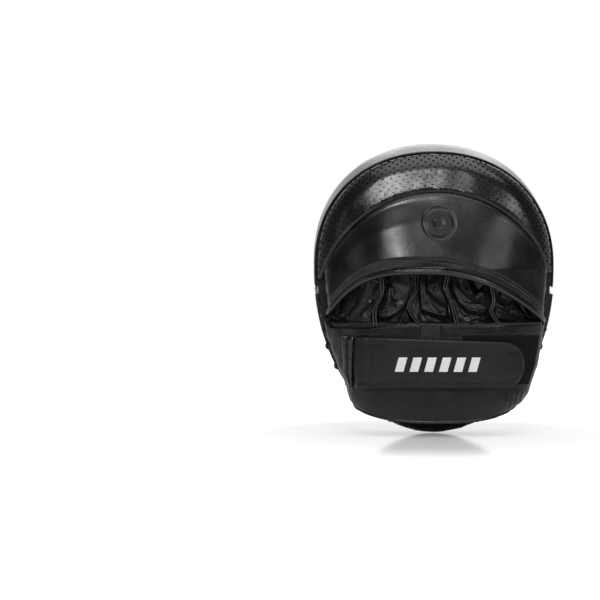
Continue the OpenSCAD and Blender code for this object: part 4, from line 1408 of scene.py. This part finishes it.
def build_stalls():
    for i, finger in enumerate(STALL_NAMES):
        P, pins = stall_grid(i)
        P = crumple(P, pins, STALL_GROW[i])
        P = refine(P)
        N = outward(P, (0, -1, 0))
        fine = 0.22 * fbm(P, 11, 2, i * 7.0) - 0.12 * ridged(P * (1.3, 1, 0.7), 9, i * 3.0 + 1)
        free = smooth((P[..., 2] - 93) / 3)[..., None]
        P = P + N * fine[..., None] * free
        # Kept under the hood and clear of its lining
        limit = cover_depth(P[..., 0], P[..., 2]) - 5.2
        inside = P[..., 2] > hood_edge(P[..., 0]) - 8
        depth = SEAM_BACK - P[..., 1]
        P[..., 1] = np.where(inside, SEAM_BACK - np.minimum(depth, np.maximum(limit, 2)), P[..., 1])
        N = outward(P, (0, -1, 0))
        for x, z, k in VENTS:
            if k == i:
                away = np.hypot(P[..., 0] - x, P[..., 2] - z)
                near = away < 2.6
                r, c = np.unravel_index(int(np.argmin(np.where(near, P[..., 1], 1e4))), away.shape)
                spot, n = P[r, c].copy(), unit(N[near].mean(0))
                # The leather lies flat round the ring and is punched through in its middle
                lift = (P - spot) @ n
                reach = np.linalg.norm(P - spot - lift[..., None] * n, axis=-1)
                flat = smooth((4.2 - reach) / 1.8) * (np.abs(lift) < 6)
                P = P - n * (
                    lift * flat + 2.4 * smooth((1.25 - reach) / 0.5) * (np.abs(lift) < 6)
                )[..., None]
                vent_spots.append((spot, n))
        N = outward(P, (0, -1, 0))
        make(f"stall_{finger}", shell(P, P - N * 1.0), "leather_soft", f"{finger}_stall")


def build_fins():
    parts = []
    for i in range(1, 5):
        zs = np.linspace(93.5, 158, 110)
        x = fin_x(i, zs)
        top = np.minimum(stall_depth(x, zs) - 3.2 + 0.7 * np.sin(zs / 7 + i), cover_depth(x, zs) - 6.2)
        top = mix(cuff_depth(x, 95) - 2.5, top, smooth((zs - 94) / 9))
        # The seam beside the middle finger sinks between its neighbours near the top
        top = top - 5.5 * smooth((zs - 120) / 6) * (i == 2)
        foot = np.full_like(zs, 3.0)
        for side in (-1, 1):
            rows = []
            spread = 0.95 + 0.25 * np.sin(zs / 5 + side)
            for off, drop in (
                (-0.42, None), (-0.45, 1.2), (-0.40, 0.45), (-0.22, 0.1), (0, 0), (0.22, 0.1), (0.40, 0.45),
                (0.45, 1.2), (0.42, None)
            ):
                d = foot if drop is None else top - drop
                rows.append(at(x + side * spread + off, d, zs))
            parts.append(bar(np.stack(rows)))
    # The raised seams wear the paler edge leather, partly a painted highlight along their edges
    make("stall_raised_seams", gather(parts), "leather_trim", "stall_seams", coat="raw_edge_and_sheen")


def build_vents():
    parts = []
    for p, n in vent_spots:
        a = unit(np.cross(n, [0, 0, 1.0]))
        b = np.cross(n, a)
        t = np.linspace(0, 2 * np.pi, 41)[:-1]
        rings = []
        for r, h in (
            (0.75, -0.3), (0.78, 0.25), (1.0, 0.62), (1.5, 0.72), (1.95, 0.6), (2.2, 0.2), (2.15, -0.3)
        ):
            rings.append(p + n * h + r * (np.cos(t)[:, None] * a + np.sin(t)[:, None] * b))
        G = np.stack(rings)
        verts = G.reshape(-1, 3)
        faces = grid_faces(len(rings), 40, True)
        faces += [
            ((len(rings) - 1) * 40 + j, (len(rings) - 1) * 40 + (j + 1) % 40, (j + 1) % 40, j)
            for j in range(40)
        ]
        parts.append((verts, faces))
    make("stall_vent_rings", gather(parts), "eyelet_plastic", "vent_eyelets")


# ---- Cuff ----


def cuff_grid(inset, rows, cols, foot_up=0.0, top=92.0):
    """Points of the sleeve round the wrist: rows from its foot up, columns from side to side."""
    turn = int(cols * 0.09)
    P = np.zeros((rows, cols, 3))
    u = np.clip((np.arange(cols) - turn) / (cols - 1 - 2 * turn), 0, 1) * 2 - 1
    corner = top + 8 * smooth((np.abs(u) - 0.80) / 0.16)
    for r in range(rows):
        z = mix(cuff_foot(u) + foot_up, corner, r / (rows - 1))
        w, mid = cuff_half(z) - inset, cuff_mid(z)
        x = mid + w * np.sin(u * np.pi / 2)
        d = cuff_depth(mid + (x - mid) * cuff_half(z) / w, z) - inset * (1 - np.abs(u) ** 8)
        k = np.arange(cols)
        reach = np.where(
            k < turn, (turn - k) / turn, np.where(k > cols - 1 - turn, (k - cols + 1 + turn) / turn, 0)
        )
        x = x - np.sign(u) * 18 * reach
        z = z + 4 * reach * r / (rows - 1)
        d = np.where(reach > 0, 1.9 + inset * 0.55, d)
        P[r] = at(x, d, z)
    return P, u


def cuff_creases(P, u):
    """Soft swells and pleats of the sleeve."""
    x, z = P[..., 0], P[..., 2]
    low = smooth((42 - z) / 8)
    h = low * (0.8 * bell((z - 26) / 12) * (1 - (x / 80) ** 2))
    h = h + 0.9 * fbm(P * (0.7, 1, 0.5), 18, 3, 12.0) * (0.3 + 0.7 * smooth((np.abs(x) - 40) / 35))
    h = h - 0.45 * ridged(P * (1.0, 1, 0.35), 13, 2.5) * smooth((np.abs(x) - 35) / 30)
    # Small pleats under the strap's end and down the left side
    for cx, wd, ht in ((63, 1.4, 0.9), (67, 1.4, 1.0), (71, 1.5, 0.9), (75.5, 1.6, 0.8)):
        h = h + low * ht * bell((x - cx + 0.25 * (40 - z)) / wd) * smooth((z - 20) / 10)
    for cx, wd, ht in ((-82, 2.6, 1.2), (-88, 2.4, 1.0), (-77.5, 1.6, 0.6)):
        h = h + ht * bell((x - cx - 0.10 * (z - 70)) / wd) * smooth((z - 44) / 10)
    return h * (1 - np.abs(u) ** 10)


def build_cuff():
    P, u = cuff_grid(0, 110, 250)
    N = outward(P, (0, -1, 0))
    h = cuff_creases(P, u)
    under = (P[..., 2] > 39.5) & (P[..., 0] > -72) & (P[..., 0] < 90)
    h = np.where(under, np.minimum(h, 0.1), h)
    P = P + N * h[..., None]
    make("cuff_sleeve_leather", shell(P, P - N * 1.3), "leather_soft", "cuff_sleeve")
    L, _ = cuff_grid(2.0, 40, 140, 1.5, 91)
    NL = outward(L, (0, -1, 0))
    L = L + NL * (0.12 * fbm(L, 12, 2, 2.0) - 0.12)[..., None]
    make("cuff_lining_cloth", shell(L, L - NL * 0.6), "lining_fabric", "cuff_lining")
    # Hem: rolled and stitched
    row = P[0, 24:-24]
    line = row + np.array([0, 0.9, -0.2])
    k = np.linspace(-1, 1, len(row))
    make(
        "cuff_foot_hem", tube(line, 0.35 + 0.95 * np.clip(1 - np.abs(k) ** 8, 0, 1), 12, up=(0, 0, 1)),
        "leather_trim", "cuff_hem"
    )


def strip_on_cuff(name, x0, x1, z0, z1, gap, thick, slot, node, relief=None, nx=160, nz=16, edge=0.8):
    """A strip of leather or webbing on the cuff. z0 and z1 are functions of x."""
    k, w = edged(nx, 0.02)[None], edged(nz, 0.1)[:, None]
    X = mix(x0, x1, k) + 0 * w
    Z = mix(z0(X), z1(X), w)
    lift = None if relief is None else relief(X, Z, w)
    top, under, _ = slab(X, Z, cuff_depth(X, Z) + gap, thick, edge, lift)
    make(name, shell(top, under), slot, node)


def build_bands():
    def wavy(X, Z, w):
        G = at(X, 0, Z)
        return 0.16 * fbm(G, 13, 2, 3.0) - 0.05 * ridged(
            G * (1, 1, 2), 9, 5.0
        ) - 0.25 * bell((w - 0.82) / 0.06)

    low_left = lambda x: 85.9 + 0 * x
    top_left = lambda x: 91.2 + 4.4 * smooth((x + 69) / 40)
    low_right = lambda x: 86.0 + 1.4 * smooth((x - 20) / 70)
    top_right = lambda x: 95.2 + 2.6 * smooth((x - 10) / 80)
    for name, x0, x1, lo, hi, node in (
        ("cuff_band_left_half", -69, -14.2, low_left, top_left, "cuff_band_left"),
        ("cuff_band_right_half", 3.2, 92.2, low_right, top_right, "cuff_band_right")):
        strip_on_cuff(name, x0, x1, lo, hi, 0.3, 1.5, "leather_smooth", node, wavy)

    def ribs(X, Z, w):
        return 0.45 * np.sin(X * 2 * np.pi / 2.3) + 0.1 * fbm(at(X, 0, Z), 4, 2, 1.0)

    strip_on_cuff(
        "cuff_elastic_ribs", -13.6, 2.6, lambda x: 43 + 0 * x, lambda x: 95.4 + 0 * x, 0.3, 0.8,
        "elastic_web", "elastic_insert", ribs, 90, 60, 0.5
    )

    def fuzz(X, Z, w):
        G = at(X, 0, Z)
        return 0.16 * fbm(G, 0.9, 2, 3.0) + 0.12 * fbm(G, 3, 2, 1.0)

    def right_edge(z):
        return cuff_mid(z) + 0.955 * cuff_half(z)

    k, w = edged(150, 0.02)[None], edged(96, 0.02)[:, None]
    Z = 44 + 41.6 * w + 0 * k
    X = mix(22, right_edge(Z), k)
    top, under, _ = slab(X, Z, cuff_depth(X, Z) + 0.3, 1.2, 0.6, fuzz(X, Z, w))
    make("loop_fastener", shell(top, under), "loop_fabric", "loop_patch")
    # Anchor: the sleeve's side is rolled into a welt, and the strap comes out behind it
    k, w = edged(16, 0.2)[None], edged(110, 0.04)[:, None]
    Z = 39.5 + 46.5 * w + 0 * k
    lean = 0.07 * (Z - 60) * (Z > 60)
    X = mix(np.maximum(-79.5 - lean, 1.6 - side_table(Z, CUFF_LEFT)), -71.0 + 0.4 * np.sin(Z / 11), k)
    lift = 1.9 * np.sin(
        np.pi * np.clip(k, 0, 1)
    ) ** 0.6 + 0.35 * fbm(at(X, 0, Z), 9, 2, 4.0) - 1.2 * bell((k - 0.42) / 0.07)
    ends = smooth(w / 0.06) * smooth((1 - w) / 0.08)
    top, under, _ = slab(
        X, Z, np.maximum(cuff_depth(X, Z), cuff_depth(-72, Z) - 2.2) + 0.2, 1.6, 1.2, lift * ends
    )
    make("strap_anchor_welt", shell(top, under), "leather_trim", "strap_anchor")


# ---- Strap ----


def strap_grid(x0, x1, n, cut_end):
    k = np.linspace(0, 1, n)
    if cut_end:
        k = np.concatenate(
            [np.linspace(0, 0.82, n), 0.82 + 0.18 * np.sin(np.linspace(0, np.pi / 2, 40)[1:])]
        )
    x = mix(x0, x1, k)[None]
    b = np.sin(np.linspace(-np.pi / 2, np.pi / 2, 45))[:, None]
    X = x + 0 * b
    Z = (strap_edge(x, 1) + strap_edge(x, -1)) / 2 + b * (strap_edge(x, 1) - strap_edge(x, -1)) / 2
    return X, Z


def strap_piece(x0, x1, n, rounded):
    X, Z = strap_grid(x0, x1, n, rounded)
    mid = (strap_edge(X, 1) + strap_edge(X, -1)) / 2
    half = np.maximum((strap_edge(X, 1) - strap_edge(X, -1)) / 2, 0.01)
    dz = half - np.abs(Z - mid)
    dx = (STRAP_END_X - X) * (1.0 if rounded else 1e3)
    d = np.minimum(dz, dx + 0 * dz)
    k = np.clip(d / 1.5, 0, 1)
    rise = np.sqrt(np.clip(1 - (1 - k) ** 2, 0, 1))
    base = strap_under(X)
    groove = -0.28 * sum(bell((d - inset) / 0.5) for inset in STRAP_SEAMS)
    puff = 0.35 * smooth((d - 5.5) / 6) + 0.18 * fbm(at(X, 0, Z), 16, 2, 6.0)
    left = 0.8 * bell((X + 62.5) / 2.6) - 0.5 * bell((X + 58) / 2.0)
    turn = np.sqrt(np.clip(1 - (1 - np.clip((X - x0) / 3.2, 0, 1)) ** 2, 0, 1)) if not rounded else 1
    top = base + STRAP_T * (0.4 + 0.6 * rise) * turn + (groove + puff + left) * smooth(d / 2) * turn
    under = base + STRAP_T * 0.4 * (1 - rise) * turn
    return shell(at(X, top, Z), at(X, under, Z))


def strap_top_depth(x, z):
    return strap_under(x) + STRAP_T + 0.05 + 0 * z


FOLD_START, FOLD_END = (-0.0706, -0.0306, 0.063), (-0.0640, -0.0330, 0.063)
PEEL_START, PEEL_END = (-0.007, -0.042, 0.063), (0.007, -0.042, 0.063)


def build_strap():
    # One strap in two pieces that meet at the cut
    cut = -12.0
    o = make(
        "strap_root_half", strap_piece(-69.4, cut, 90, False), "strap_leather", "strap_base", body=None,
    )
    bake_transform(o)
    o = make(
        "strap_end_half", strap_piece(cut, STRAP_END_X, 150, True), "strap_leather", "strap_tip", body=None,
    )
    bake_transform(o)

    def rows(x0, x1, inset, tip):
        n = 80
        x = np.linspace(x0, x1, n)
        z1, z0 = strap_edge(x, 1) - inset, strap_edge(x, -1) + inset
        up_line = at(x, strap_top_depth(x, z1), z1)
        low_line = at(x, strap_top_depth(x, z0), z0)
        if not tip:
            return [up_line, low_line]
        e = STRAP_END_X - inset * 0.9
        xs = e - STRAP_ROUND + STRAP_ROUND * np.sin(np.linspace(0, np.pi / 2, 50))
        q = np.clip((xs - e + STRAP_ROUND) / STRAP_ROUND, 0, 1)
        mid = (strap_edge(x1, 1) + strap_edge(x1, -1)) / 2
        half = (strap_edge(x1, 1) - strap_edge(x1, -1)) / 2 - inset
        h = half * np.clip(1 - q**2.4, 0, 1) ** 0.5
        curve = np.concatenate([np.stack([xs, mid + h], -1), np.stack([xs, mid - h], -1)[::-1][1:]])
        x_all = np.concatenate([x, curve[:, 0], x[::-1]])
        z_all = np.concatenate([z1, curve[:, 1], z0[::-1]])
        straight = x < e - STRAP_ROUND
        keep = np.concatenate([straight, np.ones(len(curve), bool), straight[::-1]])
        return [at(x_all, strap_top_depth(x_all, z_all), z_all)[keep]]

    def stitches(x0, x1, tip):
        parts = []
        for inset, slant in zip(STRAP_SEAMS, (0.5, -0.5)):
            for line in rows(x0, x1, inset, tip):
                parts.append(stitch_row(line, (0, -1, 0), 2.9, 2.2, 0.4, slant=slant, lift=0.25))
        return gather(parts)

    o = make(
        "strap_root_stitches", stitches(-60, cut - 0.5, False), "black_thread", "strap_base_stitching",
        body=None
    )
    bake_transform(o)
    o = make(
        "strap_end_stitches", stitches(cut + 0.5, 56, True), "black_thread", "strap_tip_stitching",
        body=None
    )
    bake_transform(o)
    # Slanted bars printed in place of lettering
    for name, ks, node, a, b, start, end in (
        ("strap_root_print", range(0, 2), "strap_base_marks", BODY, ROOT, FOLD_START, FOLD_END),
        ("strap_end_print", range(2, 6), "strap_tip_marks", ROOT, END, PEEL_START, PEEL_END)):
        parts = []
        for k in ks:
            s, w = edged(8, 0.1, 3)[None], edged(12, 0.06, 3)[:, None]
            X = (k - 2.5) * 12.4 + 7.4 * (s - 0.5) + 3.4 * (w - 0.5)
            Z = 55.6 + 12.2 * w + 0 * s
            depth = strap_under(X) + STRAP_T + 0.35 + 0.18 * fbm(at(X, 0, Z), 16, 2, 6.0)
            top_g, low_g, _ = slab(X, Z, depth, 0.22, 0.25)
            low_g[..., 1] += 0.25
            parts.append(shell(top_g, low_g))
        o = make(name, gather(parts), "white_print", node, body=None)
        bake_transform(o)
    # Hooked tape under the end half, with rows of small hooks
    x, w = np.linspace(26, 70, 60)[None], np.linspace(0.08, 0.92, 40)[:, None]
    X = x + 0 * w
    Z = mix(strap_edge(x + 2, -1), strap_edge(x + 2, 1), w)
    base = strap_under(X)
    parts = [shell(at(X, base - 0.1, Z), at(X, base - 0.6, Z))]
    for i in range(2, 58, 3):
        for j in range(2, 38, 2):
            p = np.array([X[j, i], SEAM_BACK - base[j, i] + 0.55, Z[j, i]])
            parts.append(
                tube([p, p + (0.1, 0.3, 0), p + (0.45, 0.45, 0)], [0.2, 0.18, 0.12], 4, up=(0, 0, 1))
            )
    o = make("strap_hook_tape", gather(parts), "hook_tape", "hook_patch", body=None)
    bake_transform(o)


build_crescent()
build_hood()
build_stalls()
build_fins()
build_vents()
build_cuff()
build_bands()
build_strap()

# ---- Stage: pale floor, soft studio light, camera ----

# Metres, and the lens and sensor in millimetres
FLOOR_HALF, LIGHT_AIM = 4.0, Vector((0, 0, 0.14))
CAMERA_AT, LENS, SENSOR = (-0.1167, -1.525, 0.1165), 105, 36


def stage():
    bpy.context.scene.view_settings.view_transform = "Standard"
    mesh = bpy.data.meshes.new("studio_floor")
    r = FLOOR_HALF
    mesh.from_pydata([(-r, -r, 0), (r, -r, 0), (r, r, 0), (-r, r, 0)], [], [(0, 1, 2, 3)])
    floor = bpy.data.objects.new("studio_floor", mesh)
    bpy.context.scene.collection.objects.link(floor)
    m = Nodes("studio_white")
    haze = m.noise(6, 2)
    m.set("Base Color", m.colours(haze.outputs["Fac"], (0.90, 0.90, 0.90), (0.93, 0.93, 0.93)))
    m.set("Roughness", 0.10)
    m.set("IOR", 1.18)
    seen = m.tree.nodes.new("ShaderNodeLightPath").outputs["Is Camera Ray"]
    m.set("Emission Color", (1, 1, 1, 1))
    far = m.node("ShaderNodeVectorMath", p_operation="LENGTH", i0=m.coord).outputs["Value"]
    glow = m.ramp(far, 0.13, 0.34, 0.20, 1.0)
    m.set("Emission Strength", m.math("MULTIPLY", m.ramp(seen, 0.0, 1.0, 0.15, 1.0), glow))
    mesh.materials.append(m.mat)
    world = bpy.data.worlds.new("studio")
    bpy.context.scene.world = world
    world.use_nodes = True
    nt = world.node_tree
    back = nt.nodes["Background"]
    ray = nt.nodes.new("ShaderNodeLightPath").outputs["Is Camera Ray"]
    split = nt.nodes.new("ShaderNodeSeparateXYZ")
    nt.links.new(nt.nodes.new("ShaderNodeTexCoord").outputs["Generated"], split.inputs[0])

    def even_ramp(value, lo, hi, a, b):
        """Runs evenly from a to b while value runs from lo to hi."""
        n = nt.nodes.new("ShaderNodeMapRange")
        keys = ("Value", "From Min", "From Max", "To Min", "To Max")
        for key, v in zip(keys, (value, lo, hi, a, b)):
            if isinstance(v, bpy.types.NodeSocket):
                nt.links.new(v, n.inputs[key])
            else:
                n.inputs[key].default_value = v
        return n.outputs["Result"]

    # The surroundings are bright behind the mitt and above the floor, and white to the camera
    both = nt.nodes.new("ShaderNodeMath")
    both.operation = "MULTIPLY"
    nt.links.new(even_ramp(split.outputs["Y"], 0.0, 0.7, 0.06, 1.0), both.inputs[0])
    nt.links.new(even_ramp(split.outputs["Z"], -0.02, 0.12, 0.25, 1.0), both.inputs[1])
    nt.links.new(even_ramp(ray, 0.0, 1.0, both.outputs[0], 1.0), back.inputs["Strength"])
    back.inputs["Color"].default_value = (1, 1, 1, 1)

    def area(name, azimuth, elevation, distance, size, power, size_y=None):
        """A softbox aimed at the mitt. azimuth is from the hand side towards +X."""
        a, e = math.radians(azimuth), math.radians(elevation)
        out = Vector((math.sin(a) * math.cos(e), -math.cos(a) * math.cos(e), math.sin(e)))
        spot = LIGHT_AIM + distance * out
        light = bpy.data.lights.new(name, "AREA")
        light.shape = "RECTANGLE"
        light.size, light.size_y = size, size_y or size
        light.energy = power
        o = bpy.data.objects.new(name, light)
        o.location = spot
        o.rotation_euler = (LIGHT_AIM - spot).to_track_quat("-Z", "Y").to_euler()
        o.visible_camera = False
        bpy.context.scene.collection.objects.link(o)

    # Azimuth and elevation in degrees, distance and width in metres, power in watts, height in metres
    area("key_soft", -3, 33, 1.7, 0.24, 7.0, 0.30)
    area("side_soft", 30, 21, 1.7, 0.26, 2.2, 0.30)
    area("left_soft", -48, 16, 1.6, 0.25, 0.5, 0.6)
    area("top_soft", 20, 78, 1.4, 1.2, 10)
    area("back_soft", 172, 40, 1.9, 1.3, 4.5, 1.0)

    cam = bpy.data.cameras.new("camera")
    cam.lens, cam.sensor_width = LENS, SENSOR
    cam.clip_start, cam.clip_end = 0.05, 40
    o = bpy.data.objects.new("camera", cam)
    o.location = CAMERA_AT
    o.rotation_euler = (math.radians(90), 0, 0)
    bpy.context.scene.collection.objects.link(o)
    bpy.context.scene.camera = o


stage()
